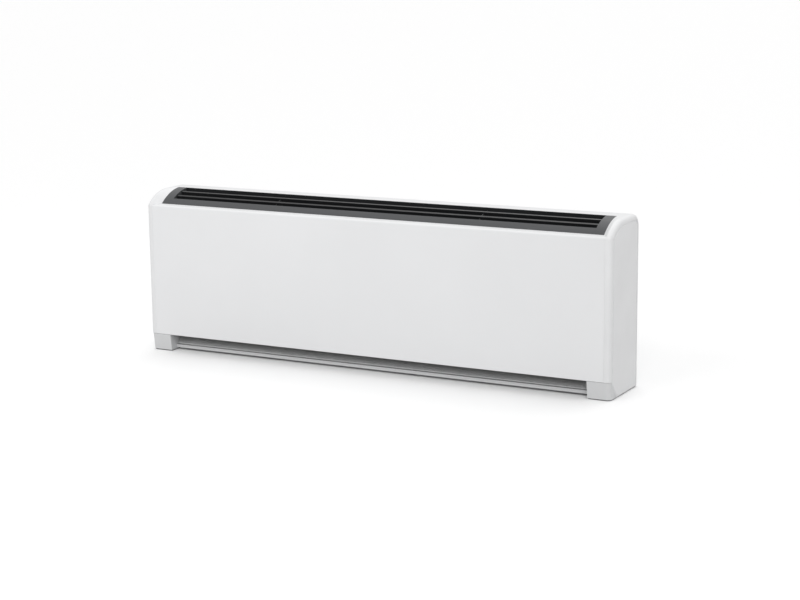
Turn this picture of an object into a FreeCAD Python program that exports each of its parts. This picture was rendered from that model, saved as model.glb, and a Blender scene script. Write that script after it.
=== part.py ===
"""Floor fan coil unit: a white cased room heater and cooler that stands against a wall.

Air enters through the slot over the base pan, passes a sliding filter, four double-inlet fans on
one shaft and a tilted finned coil, and leaves through the curved grille at the top.
Frame: origin on the floor under the middle of the unit, +X to the right, +Y to the wall, +Z up.
Every piece is drawn in a depth frame, whose second axis is counted back from the front panel.
"""
import FreeCAD, Part
import math
import os
import re
import Sketcher

os.makedirs("parts", exist_ok=True)
doc = FreeCAD.newDocument("floor_fan_coil_unit")

SIZES = {
    # Envelope and shared stock
    "overall_length": 1630,
    "overall_depth": 225,
    "overall_height": 530,
    "painted_sheet": 1.2,
    "zinc_sheet": 1,
    "moulded_wall": 2,
    "seat_gap": 0.3,
    "floor_gap": 3,
    "shaft_play": 0.05,
    # Front panel
    "panel_end_margin": 21.5,
    "panel_bottom": 57,
    "panel_top_drop": 43,
    "panel_bend": 6,
    "panel_return": 11.7,
    "ledge_drop": 42.5,
    "ledge_lap": 7,
    "foam_thickness": 5,
    "foam_margin": 20,
    # End caps
    "cap_width": 37.5,
    "cap_crest_radius": 138,
    "cap_corner": 16,
    "cap_rear_radius": 40,
    "cap_rim_radius": 14,
    "cap_rim_land": 2.5,
    "cap_wall": 3,
    "cap_inset": 1.5,
    "toe_top_depth": 14.5,
    "toe_depth": 57,
    "toe_radius": 150,
    # Feet
    "foot_width": 75,
    "foot_lean": 8,
    "foot_front_gap": 0.6,
    "foot_seam": 1,
    "foot_length": 200,
    "foot_corner": 14,
    "foot_wall": 3,
    "foot_ledge": 18,
    # Outlet grille and top panel
    "grille_radius": 169,
    "grille_crest_depth": 145,
    "grille_front_depth": 33,
    "outlet_rear_depth": 132,
    "strip_rear_depth": 54,
    "grille_skin": 3,
    "grille_end_width": 32.5,
    "strip_flange": 2.5,
    "strip_flange_drop": 16,
    "end_wall_drop": 24,
    "front_blade_depth": 72,
    "rear_blade_depth": 99,
    "blade_recess": 3.5,
    "blade_nose": 6,
    "blade_tip": 2.5,
    "blade_drop": 18,
    "blade_lean": 8,
    "rib_offset": 360,
    "rib_thickness": 2.5,
    "rib_recess": 8,
    "rib_height": 20,
    "top_flange_drop": 24,
    "top_rear_drop": 60,
    # Base pan, rear panel and chassis
    "pan_floor": 8,
    "pan_lip": 10,
    "pan_front_depth": 36,
    "wall_hole_radius": 4.5,
    "wall_hole_inset": 143,
    "wall_hole_low": 120,
    "wall_hole_drop": 75,
    "pipe_opening_edge": 12,
    "pipe_opening_margin": 18,
    "side_space": 115,
    "chassis_front_depth": 24,
    "chassis_toe_depth": 60,
    "chassis_toe_height": 60,
    "chassis_stand_depth": 150,
    "chassis_flange": 30,
    "deck_height": 245,
    "deck_front_depth": 20,
    "deck_flange": 16,
    # Fans, shaft and motor
    "fan_axis_depth": 100,
    "fan_axis_height": 165,
    "motor_bay_half": 110,
    "bearing_bay": 90,
    "fan_gap": 60,
    "scroll_radius": 72,
    "scroll_step": 8,
    "tongue_offset": 10,
    "inlet_radius": 46,
    "wheel_radius": 61.5,
    "wheel_ring": 11,
    "wheel_ring_thickness": 4,
    "wheel_side_gap": 6,
    "wheel_disc": 3,
    "wheel_hub_radius": 14,
    "wheel_hub_length": 36,
    "wheel_blades": 26,
    "wheel_blade_thickness": 1.4,
    "wheel_blade_sweep": 6.6,
    "shaft_radius": 6,
    "shaft_end_gap": 28,
    "motor_radius": 46,
    "motor_half": 40,
    "motor_bell": 8,
    "boss_radius": 18,
    "boss_half": 58,
    "ring_radius": 28,
    "ring_width": 9.5,
    "cradle_half": 52.5,
    "cradle_sheet": 2.5,
    "cradle_depth": 68,
    "cradle_drop": 34,
    "cradle_corner": 28,
    "bearing_inset": 48,
    "bearing_radius": 18,
    "bearing_width": 22,
    "bracket_width": 56,
    "bracket_flange": 22,
    # Coil, headers and water fittings
    "coil_depth": 38,
    "coil_lift": 47,
    "coil_top_depth": 138.376,
    "row_pitch": 22,
    "coil_top_drop": 94.65,
    "coil_rows": 2,
    "coil_tubes": 7,
    "tube_radius": 4.8,
    "tube_play": 0.2,
    "tube_sheet": 2,
    "tube_sheet_margin": 4,
    "coil_window_margin": 1.5,
    "hairpin_reach": 6,
    "header_radius": 9,
    "header_wall": 1,
    "header_clearance": 7,
    "header_overrun": 28,
    "stub_radius": 8,
    "stub_setback": 16,
    "union_radius": 13,
    "union_length": 26,
    "union_hex": 14,
    "union_socket": 8,
    "union_wall_gap": 2,
    "union_hex_length": 11,
    "union_thread_radius": 9.3,
    "union_thread_length": 16,
    "vent_radius": 7,
    "vent_length": 16,
    "vent_screw_radius": 3,
    "vent_screw_length": 12,
    "vent_screw_slot": 1,
    "vent_bore_depth": 10,
    "baffle_drop": 96,
    # Condensate
    "drain_front_depth": 10,
    "drain_rear_depth": 100,
    "drain_front_height": 44,
    "drain_rear_height": 16,
    "outfall_depth": 86,
    "outfall_lift": 10.3,
    "outfall_radius": 8,
    "outfall_length": 10,
    "side_tray_gap": 16.5,
    "side_tray_front": 40,
    "side_tray_rear": 190,
    "side_tray_low": 214,
    "side_tray_height": 25,
    "spout_radius": 10,
    "spout_length": 30,
    # Electrical box
    "box_width": 42,
    "box_front": 50,
    "box_rear": 180,
    "box_low": 100,
    "box_high": 215,
    "lid_thickness": 2.5,
    "block_width": 20,
    "block_length": 70,
    "block_height": 24,
    "block_ways": 5,
    "block_way_radius": 3,
    "gland_radius": 10,
    "gland_bore": 5,
    "gland_length": 20,
    "capacitor_radius": 14,
    "capacitor_length": 70,
    "capacitor_height": 238,
    # Filter
    "filter_low": 44,
    "filter_thickness": 8,
    "filter_front_depth": 62,
    "filter_rear_depth": 212,
    "filter_bar": 10,
    "filter_stiles": 5,
    "filter_mesh": 1,
    "screen_foot_depth": 42,
    "screen_foot_height": 20,
    "screen_head_depth": 58.5,
    "screen_end_gap": 1.5,
    "guide_wall": 2,
    "guide_reach": 16,
}

sheet = doc.addObject("Spreadsheet::Sheet", "Sizes")
for row, (word, number) in enumerate(SIZES.items(), start=1):
    sheet.set(f"A{row}", word)
    sheet.set(f"B{row}", str(number))
    sheet.setAlias(f"B{row}", word)
doc.recompute()

WORD = re.compile(r"[a-z][a-z0-9_]*")
LEFT = 1
RIGHT = -1
ALONG = FreeCAD.Vector(1, 0, 0)
BACK = FreeCAD.Vector(0, 1, 0)
PIECES = []


def bound(text):
    """An expression with each size name pointed at its cell in the sheet."""
    return WORD.sub(lambda m: f"Sizes.{m.group()}" if m.group() in SIZES else m.group(), str(text))


def size(text):
    """The present value of an expression."""
    return float(sheet.evalExpression(bound(text)))


def count(word):
    """A size that counts things, as a whole number."""
    return round(size(word))


def seat(piece, across="0", back="0", up="0"):
    """Bind a piece's place, with its depth counted back from the front panel."""
    piece.setExpression("Placement.Base.x", bound(across))
    piece.setExpression("Placement.Base.y", bound(f"{back} - overall_depth / 2"))
    piece.setExpression("Placement.Base.z", bound(up))
    return piece


def new_body(label, across="0", back="0", up="0"):
    """An empty body that is one named piece."""
    body = doc.addObject("PartDesign::Body", label)
    body.Label = label
    PIECES.append(body)
    return seat(body, across, back, up)


def sketch_on(body, role, offset="0"):
    """A sketch on one of the body's own planes, moved along the plane's normal."""
    sketch = body.newObject("Sketcher::SketchObject", f"{body.Name}_outline")
    plane = next(plane for plane in body.Origin.OriginFeatures if plane.Role == role)
    sketch.AttachmentSupport = [(plane, "")]
    sketch.MapMode = "FlatFace"
    sketch.setExpression("AttachmentOffset.Base.z", bound(offset))
    return sketch


def pin_point(sketch, edge, end, across, up):
    """Hold one end of an edge at its two bound distances from the sketch's origin."""
    for kind, text in (("DistanceX", across), ("DistanceY", up)):
        rule = sketch.addConstraint(Sketcher.Constraint(kind, -1, 1, edge, end, size(text)))
        sketch.setExpression(f"Constraints[{rule}]", bound(text))


def draw_outline(sketch, corners):
    """Close an outline through corners (across, up). A corner that also has a radius and a turn
    leads to the next one by an arc, else by a straight line."""
    spots = [FreeCAD.Vector(size(corner[0]), size(corner[1]), 0) for corner in corners]
    joints = []
    for corner, start, end in zip(corners, spots, spots[1:] + spots[:1]):
        if len(corner) == 2:
            edge = sketch.addGeometry(Part.LineSegment(start, end), False)
            joints.append((edge, 1, 2))
            continue
        radius, turn = size(corner[2]), corner[3]
        chord = end - start
        side = FreeCAD.Vector(chord.y, -chord.x, 0).normalize() * turn
        rise = radius - math.sqrt(radius ** 2 - chord.Length ** 2 / 4)
        crest = (start + end) / 2 + side * rise
        ends = (start, crest, end) if turn == LEFT else (end, crest, start)
        edge = sketch.addGeometry(Part.Arc(*ends), False)
        joints.append((edge, 1, 2) if turn == LEFT else (edge, 2, 1))
    for (edge, _, end), (after, start, _) in zip(joints, joints[1:] + joints[:1]):
        sketch.addConstraint(Sketcher.Constraint("Coincident", edge, end, after, start))
    for corner, (edge, start, _) in zip(corners, joints):
        pin_point(sketch, edge, start, corner[0], corner[1])
        if len(corner) > 2:
            rule = sketch.addConstraint(Sketcher.Constraint("Radius", edge, size(corner[2])))
            sketch.setExpression(f"Constraints[{rule}]", bound(corner[2]))


def draw_circle(sketch, across, up, radius):
    """A circle whose centre and radius are bound to the sheet."""
    middle = FreeCAD.Vector(size(across), size(up), 0)
    edge = sketch.addGeometry(Part.Circle(middle, FreeCAD.Vector(0, 0, 1), size(radius)), False)
    pin_point(sketch, edge, 3, across, up)
    rule = sketch.addConstraint(Sketcher.Constraint("Radius", edge, size(radius)))
    sketch.setExpression(f"Constraints[{rule}]", bound(radius))


def box_corners(left, low, right, high):
    """The four corners of an upright rectangle."""
    return [(left, low), (right, low), (right, high), (left, high)]


def pad(sketch, length, symmetric=False):
    """Add the sketch's outline, drawn out along its plane's normal."""
    feature = sketch.getParentGeoFeatureGroup().newObject("PartDesign::Pad", "pad")
    feature.Profile = sketch
    feature.SideType = "Symmetric" if symmetric else "One side"
    feature.setExpression("Length", bound(length))
    return feature


def pocket(sketch, length=None, symmetric=False, forward=True):
    """Remove the sketch's outline: for a length along the plane's normal, or right through."""
    feature = sketch.getParentGeoFeatureGroup().newObject("PartDesign::Pocket", "pocket")
    feature.Profile = sketch
    feature.Reversed = forward
    feature.SideType = "Symmetric" if symmetric or length is None else "One side"
    if length is None:
        feature.Type = "ThroughAll"
    else:
        feature.setExpression("Length", bound(length))
    return feature


def carve(first, second):
    """Remove the ruled solid between two sketches of one body."""
    feature = first.getParentGeoFeatureGroup().newObject("PartDesign::SubtractiveLoft", "carve")
    feature.Profile = first
    feature.Sections = [second]
    feature.Ruled = True
    return feature


def fillet(feature, radius, wanted, kind="Fillet", measure="Radius"):
    """Round the edges whose middle point satisfies a test, in the body's own frame."""
    doc.recompute()
    body = feature.getParentGeoFeatureGroup()
    names = []
    for number, edge in enumerate(feature.Shape.Edges, start=1):
        if wanted(edge.valueAt((edge.FirstParameter + edge.LastParameter) / 2)):
            names.append(f"Edge{number}")
    rounding = body.newObject(f"PartDesign::{kind}", "rounding")
    rounding.Base = (feature, names)
    rounding.setExpression(measure, bound(radius))
    return rounding


def chamfer(feature, width, wanted):
    """Cut the edges whose middle point satisfies a test to a flat, in the body's own frame."""
    return fillet(feature, width, wanted, "Chamfer", "Size")


def section(label, corners, length, across="0", symmetric=True):
    """A piece of one section in depth and height, drawn out along the unit."""
    body = new_body(label, across)
    sketch = sketch_on(body, "YZ_Plane")
    draw_outline(sketch, corners)
    pad(sketch, length, symmetric)
    return body


def formed(label, shape, across="0", back="0", up="0"):
    """A piece whose shape is worked out from the sheet's values in the depth frame."""
    piece = doc.addObject("Part::Feature", label)
    piece.Label = label
    piece.Shape = shape
    PIECES.append(piece)
    return seat(piece, across, back, up)


def near(first, second):
    """True when two lengths agree to a hundredth of a millimetre."""
    return abs(first - second) < 0.01


# Shared places, as expressions
half_length = "overall_length / 2"
cap_inner = "(overall_length / 2 - cap_width)"
rear_face = "(overall_depth - zinc_sheet)"
panel_edge = "(overall_length / 2 - panel_end_margin)"
panel_top = "(overall_height - panel_top_drop)"
ledge_top = "(overall_height - ledge_drop)"
crest_depth = "sqrt(cap_crest_radius^2 - (cap_crest_radius - panel_top_drop)^2)"
slot_half = "(overall_length / 2 - cap_width - grille_end_width)"
guide_front = "(outlet_rear_depth - grille_skin)"
chassis_half = "(overall_length / 2 - side_space)"
chassis_outer = f"({chassis_half} + zinc_sheet)"
deck_top = "(deck_height + zinc_sheet)"
guide_underside = "(filter_low - seat_gap - guide_wall)"
bearing_place = f"({chassis_half} - bearing_inset)"
housing_width = f"(({chassis_half} - bearing_bay - motor_bay_half - fan_gap) / 2)"
wheel_width = f"({housing_width} - 2 * moulded_wall - 2 * wheel_side_gap)"
inner_fan = f"(motor_bay_half + {housing_width} / 2)"
outer_fan = f"({chassis_half} - bearing_bay - {housing_width} / 2)"
coil_thick = "(coil_rows * row_pitch)"
coil_height = "(deck_height + coil_lift)"
coil_rise = f"(overall_height - coil_top_drop - {coil_height})"
coil_tilt = f"atan((coil_top_depth - coil_depth) / {coil_rise})"
coil_tall = f"({coil_rise} / cos({coil_tilt}))"
tube_pitch = f"({coil_tall} / coil_tubes)"
supply_low = f"({tube_pitch} / 2 - header_overrun)"
supply_stub = f"({supply_low} + stub_setback)"
return_high = f"({coil_tall} - {tube_pitch} / 2 + header_overrun)"
return_stub = f"({return_high} - stub_setback)"
union_front = "(overall_depth - zinc_sheet - union_wall_gap - union_length)"
side_tray_width = f"({cap_inner} - side_tray_gap - {chassis_outer})"
spout_height = "(side_tray_low + spout_radius)"
SIDES = {"left": -1, "right": 1}


def crown(depth, recess="0"):
    """Height of the grille's curve, or of a curve set inside it, at a depth."""
    across = f"(grille_crest_depth - ({depth}))"
    return f"(overall_height - grille_radius + sqrt((grille_radius - {recess})^2 - {across}^2))"


def crest_seat(radius):
    """Height of the middle of a round of this radius that fits between a cap's front and its crest."""
    across = f"({crest_depth} - {radius})"
    return f"(overall_height - cap_crest_radius + sqrt((cap_crest_radius - {radius})^2 - {across}^2))"


def coil_spot(thick, tall):
    """Depth and height of a spot given along the tilted coil's thickness and height."""
    depth = f"(coil_depth + ({thick}) * cos({coil_tilt}) + ({tall}) * sin({coil_tilt}))"
    height = f"({coil_height} - ({thick}) * sin({coil_tilt}) + ({tall}) * cos({coil_tilt}))"
    return depth, height


def spot(across, back, up):
    """A point of the depth frame at its present values."""
    return FreeCAD.Vector(size(across), size(back), size(up))


def front_panel():
    """White painted sheet panel: folded under at the bottom, bent into a ledge at the top that
    carries the grille, with a short return flange at each end."""
    lap_depth = "(grille_front_depth + ledge_lap)"
    inner_bend = "(panel_bend - painted_sheet)"
    body = section("front_panel", [
        ("0", "panel_bottom"),
        ("panel_return", "panel_bottom"),
        ("panel_return", "panel_bottom + painted_sheet"),
        ("painted_sheet", "panel_bottom + painted_sheet"),
        ("painted_sheet", f"{panel_top} - panel_bend", inner_bend, RIGHT),
        ("panel_bend", f"{panel_top} - painted_sheet"),
        ("grille_front_depth", f"{ledge_top} - painted_sheet"),
        (lap_depth, f"{ledge_top} - painted_sheet"),
        (lap_depth, ledge_top),
        ("grille_front_depth", ledge_top),
        ("panel_bend", panel_top, "panel_bend", LEFT),
        ("0", f"{panel_top} - panel_bend"),
    ], f"2 * {panel_edge}")
    corner_cut = sketch_on(body, "XY_Plane", panel_top)
    for side in SIDES.values():
        inner = f"{side} * ({cap_inner} - seat_gap)"
        outer = f"{side} * ({panel_edge} + seat_gap)"
        across = (inner, outer) if side > 0 else (outer, inner)
        draw_outline(corner_cut, box_corners(across[0], "panel_return", across[1], f"2 * {lap_depth}"))
    pocket(corner_cut, "2 * ledge_drop", symmetric=True)
    slope = "(panel_top_drop - ledge_drop) / (grille_front_depth - panel_bend)"
    middle = "painted_sheet / 2"
    for side in SIDES.values():
        start = panel_edge if side < 0 else f"painted_sheet - {panel_edge}"
        flange = sketch_on(body, "YZ_Plane", f"-({start})")
        draw_outline(flange, [
            (middle, f"panel_bottom + {middle}"),
            ("panel_return", f"panel_bottom + {middle}"),
            ("panel_return", f"{panel_top} - {middle} + (panel_return - panel_bend) * {slope}"),
            ("panel_bend", f"{panel_top} - {middle}"),
            (middle, f"{panel_top} - panel_bend"),
        ])
        pad(flange, "painted_sheet")


def panel_insulation():
    """Sheet of closed-cell foam glued to the back of the front panel."""
    section("panel_insulation", box_corners(
        "painted_sheet", "panel_bottom + foam_margin",
        "painted_sheet + foam_thickness", f"{panel_top} - foam_margin",
    ), f"2 * ({cap_inner} - foam_margin)")


def end_cap(name, side):
    """Moulded end cap: a shell with a rounded rim about an inset side face, a crest that breaks at
    the panel's top and slopes down to the grille's curve, and a toe cut back for the foot."""
    start = cap_inner if side > 0 else f"-({half_length})"
    body = new_body(f"{name}_end_cap", start)
    outer_face = size("cap_width") if side > 0 else 0
    crest_middle = "(overall_height - cap_crest_radius)"
    share = "cap_crest_radius / (cap_crest_radius - cap_corner)"
    corner_depth = f"{crest_depth} - ({crest_depth} - cap_corner) * {share}"
    corner_height = f"{crest_middle} + ({crest_seat('cap_corner')} - {crest_middle}) * {share}"
    shell = sketch_on(body, "YZ_Plane")
    draw_outline(shell, [
        ("toe_depth", "floor_gap"),
        ("overall_depth", "floor_gap"),
        ("overall_depth", "overall_height - cap_rear_radius", "cap_rear_radius", LEFT),
        ("overall_depth - cap_rear_radius", "overall_height"),
        (crest_depth, "overall_height", "cap_crest_radius", LEFT),
        (corner_depth, corner_height, "cap_corner", LEFT),
        ("0", crest_seat("cap_corner")),
        ("0", "panel_bottom"),
        ("toe_top_depth", "panel_bottom", "toe_radius", LEFT),
    ])
    block = pad(shell, "cap_width")
    above_toe = size("panel_bottom") + size("seat_gap")
    fillet(block, "cap_rim_radius", lambda p: near(p.x, outer_face) and p.z > above_toe)

    margin = "(cap_rim_radius + cap_rim_land)"
    face = sketch_on(body, "YZ_Plane", "cap_width" if side > 0 else "0")
    draw_outline(face, [
        ("-cap_wall", "-cap_wall"),
        (f"overall_depth - {margin}", "-cap_wall"),
        (f"overall_depth - {margin}", "overall_height - cap_rear_radius",
         f"cap_rear_radius - {margin}", LEFT),
        ("overall_depth - cap_rear_radius", f"overall_height - {margin}"),
        (crest_depth, f"overall_height - {margin}", f"cap_crest_radius - {margin}", LEFT),
        (margin, crest_seat(margin)),
        (margin, "panel_bottom"),
        ("-cap_wall", "panel_bottom"),
    ])
    pocket(face, "cap_inset", forward=side < 0)

    hollow_start = "0" if side > 0 else "cap_width"
    ridge = f"(cap_width - {margin})"
    slopes = (
        (hollow_start, "grille_crest_depth", "grille_radius", "grille_front_depth",
         crown("grille_front_depth")),
        (ridge if side > 0 else margin, crest_depth, "cap_crest_radius", "0", panel_top),
    )
    ends = []
    for offset, top_depth, radius, foot_depth, foot_height in slopes:
        above = sketch_on(body, "YZ_Plane", offset)
        draw_outline(above, [
            (top_depth, "overall_height", radius, LEFT),
            (foot_depth, foot_height),
            ("-cap_wall", foot_height),
            ("-cap_wall", "overall_height + cap_wall"),
            (top_depth, "overall_height + cap_wall"),
        ])
        ends.append(above)
    carve(*ends)

    hollows = (
        ("cap_wall", ridge),
        (f"({margin} + cap_wall)", "cap_width - cap_inset - cap_wall"),
    )
    for wall, reach in hollows:
        hollow = sketch_on(body, "YZ_Plane", hollow_start)
        draw_outline(hollow, [
            (f"toe_depth + {wall}", "-cap_wall"),
            (f"overall_depth - {wall}", "-cap_wall"),
            (f"overall_depth - {wall}", "overall_height - cap_rear_radius",
             f"cap_rear_radius - {wall}", LEFT),
            ("overall_depth - cap_rear_radius", f"overall_height - {wall}"),
            ("grille_crest_depth", f"overall_height - {wall}", f"grille_radius - {wall}", LEFT),
            (wall, crown(wall, wall)),
            (wall, "panel_bottom + cap_wall"),
            (f"toe_top_depth + {wall}", "panel_bottom + cap_wall"),
            (f"toe_top_depth + {wall}", "panel_bottom - cap_wall"),
        ])
        pocket(hollow, reach, forward=side > 0)

    inside = sketch_on(body, "YZ_Plane", hollow_start)
    draw_outline(inside, box_corners(
        "-cap_wall", "panel_bottom - seat_gap",
        "panel_return + seat_gap", f"{ledge_top} + seat_gap",
    ))
    pocket(inside, "cap_width - panel_end_margin + seat_gap", forward=side > 0)


def foot(name, side):
    """Light grey moulded foot: a toe that leans back and rounds the corner, and a hollow block
    behind it with a ledge that stands on the floor and carries the base pan."""
    inner = "(overall_length / 2 - foot_width)"
    outer = f"({half_length} - cap_inset)"
    width = "(foot_width - cap_inset)"
    top = "(panel_bottom - foot_seam)"
    body = new_body(f"{name}_foot", inner if side > 0 else f"-{outer}")
    outer_face = size(width) if side > 0 else 0
    block_outline = sketch_on(body, "YZ_Plane")
    draw_outline(block_outline, [
        ("foot_lean", "floor_gap"),
        ("foot_length", "floor_gap"),
        ("foot_length", top),
        ("foot_front_gap", top),
    ])
    block = pad(block_outline, width)
    front = size("foot_lean")
    fillet(block, "foot_corner", lambda p: near(p.x, outer_face) and p.y < front)

    cap_side = "(foot_width - cap_width - seat_gap)"
    behind = sketch_on(body, "YZ_Plane", cap_side if side > 0 else "-foot_wall")
    draw_outline(behind, [
        ("toe_depth - foot_seam", "-foot_wall"),
        ("foot_length + foot_wall", "-foot_wall"),
        ("foot_length + foot_wall", "panel_bottom + foot_wall"),
        ("toe_top_depth - foot_seam", "panel_bottom + foot_wall"),
        ("toe_top_depth - foot_seam", "panel_bottom", "toe_radius", LEFT),
        ("toe_depth - foot_seam", "floor_gap"),
    ])
    pocket(behind, "cap_width - cap_inset + seat_gap + foot_wall", forward=True)

    low = "foot_wall" if side > 0 else "cap_width - cap_inset + seat_gap + foot_wall"
    high = f"{cap_side} - foot_wall" if side > 0 else f"{width} - foot_wall"
    under = sketch_on(body, "XY_Plane")
    draw_outline(under, box_corners(
        low, "foot_lean + 2 * foot_wall", high, "foot_length - foot_wall"))
    pocket(under, f"{top} - foot_wall", forward=True)

    ledge = sketch_on(body, "XY_Plane")
    left = "-foot_ledge" if side > 0 else width
    right = "0" if side > 0 else f"{width} + foot_ledge"
    draw_outline(ledge, box_corners(
        left, "pan_front_depth + foot_ledge", right, "foot_length"))
    pad(ledge, "pan_floor")


def top_panel():
    """White painted strip behind the grille, turned down at the outlet and rolled down the back."""
    inner_radius = "(cap_rear_radius - painted_sheet)"
    section("top_panel", [
        ("outlet_rear_depth", "overall_height - top_flange_drop"),
        ("outlet_rear_depth + painted_sheet", "overall_height - top_flange_drop"),
        ("outlet_rear_depth + painted_sheet", "overall_height - painted_sheet"),
        ("overall_depth - cap_rear_radius", "overall_height - painted_sheet", inner_radius, RIGHT),
        ("overall_depth - painted_sheet", "overall_height - cap_rear_radius"),
        ("overall_depth - painted_sheet", "overall_height - top_rear_drop"),
        ("overall_depth", "overall_height - top_rear_drop"),
        ("overall_depth", "overall_height - cap_rear_radius", "cap_rear_radius", LEFT),
        ("overall_depth - cap_rear_radius", "overall_height"),
        ("outlet_rear_depth", "overall_height"),
    ], f"2 * {cap_inner}")


def outlet_guide():
    """Dark moulded wall at the back of the outlet, against the top panel's flange."""
    section("outlet_guide", [
        (guide_front, "overall_height - top_flange_drop"),
        ("outlet_rear_depth", "overall_height - top_flange_drop"),
        ("outlet_rear_depth", crown("outlet_rear_depth"), "grille_radius", LEFT),
        (guide_front, crown(guide_front)),
    ], f"2 * {slot_half}")


strip_foot = ("(grille_crest_depth - sqrt((grille_radius - grille_skin)^2 - grille_radius^2"
              " + (grille_crest_depth - grille_front_depth)^2))")


def grille_front_strip():
    """Front bar of the outlet grille: a curved face that stands on the panel's ledge, with a
    flange turned down into the first slot."""
    flange_front = "(strip_rear_depth - strip_flange)"
    section("grille_front_strip", [
        ("grille_front_depth", crown("grille_front_depth")),
        (strip_foot, crown("grille_front_depth"), "grille_radius - grille_skin", RIGHT),
        (flange_front, crown(flange_front, "grille_skin")),
        (flange_front, f"{crown('strip_rear_depth')} - strip_flange_drop"),
        ("strip_rear_depth", f"{crown('strip_rear_depth')} - strip_flange_drop"),
        ("strip_rear_depth", crown("strip_rear_depth"), "grille_radius", LEFT),
    ], f"2 * {slot_half}")


def grille_end(name, side):
    """Curved end piece of the grille: a skin between the end cap and the slots, with a deeper
    wall at the slots that the blades run into."""
    start = slot_half if side > 0 else f"-{cap_inner}"
    body = new_body(f"grille_{name}_end", start)
    wall_start = "0" if side > 0 else "grille_end_width - grille_skin"
    for depth, offset, width in (
        ("grille_skin", "0", "grille_end_width"),
        ("end_wall_drop", wall_start, "grille_skin"),
    ):
        band = sketch_on(body, "YZ_Plane", offset)
        lowest = strip_foot if depth == "grille_skin" else "strip_rear_depth - strip_flange"
        rise = crown("grille_front_depth") if depth == "grille_skin" else crown(lowest, depth)
        front = "grille_front_depth" if depth == "grille_skin" else lowest
        draw_outline(band, [
            (front, crown(front)),
            (lowest, rise, f"grille_radius - {depth}", RIGHT),
            ("outlet_rear_depth", crown("outlet_rear_depth", depth)),
            ("outlet_rear_depth", crown("outlet_rear_depth"), "grille_radius", LEFT),
        ])
        pad(band, width)


def blade_corners(nose):
    """Section of a grille blade: a flat nose under the grille's curve, thinning as it leans back."""
    top = crown(nose, "blade_recess")
    foot_front = f"({nose} + blade_lean)"
    return [
        (nose, top),
        (foot_front, f"{top} - blade_drop"),
        (f"{foot_front} + blade_tip", f"{top} - blade_drop"),
        (f"{nose} + blade_nose", crown(f"{nose} + blade_nose", "blade_recess")),
    ]


def grille_blades():
    """Two long fixed blades that lean the air forward."""
    for place in ("front", "rear"):
        section(f"grille_{place}_blade", blade_corners(f"{place}_blade_depth"), f"2 * {slot_half}")


def grille_cross_ribs():
    """Upright ribs under the blades, notched to take them, between the strip and the guide."""
    for name, side in SIDES.items():
        start = f"{side} * rib_offset - rib_thickness / 2"
        body = new_body(f"grille_{name}_rib", start)
        lowest = "(rib_recess + rib_height)"
        rib = sketch_on(body, "YZ_Plane")
        draw_outline(rib, [
            ("strip_rear_depth", crown("strip_rear_depth", "rib_recess")),
            ("strip_rear_depth", crown("strip_rear_depth", lowest), f"grille_radius - {lowest}", RIGHT),
            (guide_front, crown(guide_front, lowest)),
            (guide_front, crown(guide_front, "rib_recess"), "grille_radius - rib_recess", LEFT),
        ])
        pad(rib, "rib_thickness")
        notches = sketch_on(body, "YZ_Plane")
        for nose in ("front_blade_depth", "rear_blade_depth"):
            seat_height = f"{crown(nose, 'blade_recess')} - blade_drop"
            foot_front = f"({nose} + blade_lean - seat_gap)"
            foot_rear = f"({nose} + blade_lean + blade_tip + seat_gap)"
            draw_outline(notches, [
                (foot_front, seat_height),
                (foot_rear, seat_height),
                (foot_rear, f"{seat_height} + 2 * blade_drop"),
                (f"{foot_front} - 2 * blade_lean", f"{seat_height} + 2 * blade_drop"),
            ])
        pocket(notches, "rib_thickness", forward=True)


def base_pan():
    """Folded sheet pan between the feet, with the light lip that shows under the intake slot."""
    section("base_pan", [
        ("pan_front_depth", "pan_floor"),
        (rear_face, "pan_floor"),
        (rear_face, "pan_floor + pan_lip"),
        (f"{rear_face} - painted_sheet", "pan_floor + pan_lip"),
        (f"{rear_face} - painted_sheet", "pan_floor + painted_sheet"),
        ("pan_front_depth + painted_sheet", "pan_floor + painted_sheet"),
        ("pan_front_depth + painted_sheet", "pan_floor + pan_lip"),
        ("pan_front_depth", "pan_floor + pan_lip"),
    ], "overall_length - 2 * foot_width - 2 * seat_gap")


def rear_panel():
    """Zinc-coated back sheet with four wall-fixing holes and the pipe opening behind the
    water connections."""
    body = new_body("rear_panel", "0", rear_face)
    high = "overall_height - top_rear_drop"
    edge = f"({cap_inner} - seat_gap)"
    plate = sketch_on(body, "XZ_Plane")
    draw_outline(plate, box_corners(f"-{edge}", "pan_floor", edge, high))
    wall_hole = "(overall_length / 2 - wall_hole_inset)"
    for side in SIDES.values():
        for height in ("wall_hole_low", "overall_height - wall_hole_drop"):
            draw_circle(plate, f"{side} * {wall_hole}", height, "wall_hole_radius")
    return_height = coil_spot(tube_spot(0, 0)[0], return_stub)[1]
    draw_outline(plate, box_corners(
        f"pipe_opening_edge - {edge}", f"{spout_height} - spout_radius - pipe_opening_edge",
        f"-({chassis_outer} + 2 * painted_sheet)", f"{return_height} + union_hex + pipe_opening_margin"))
    feature = pad(plate, "zinc_sheet")
    feature.Reversed = True


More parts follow.
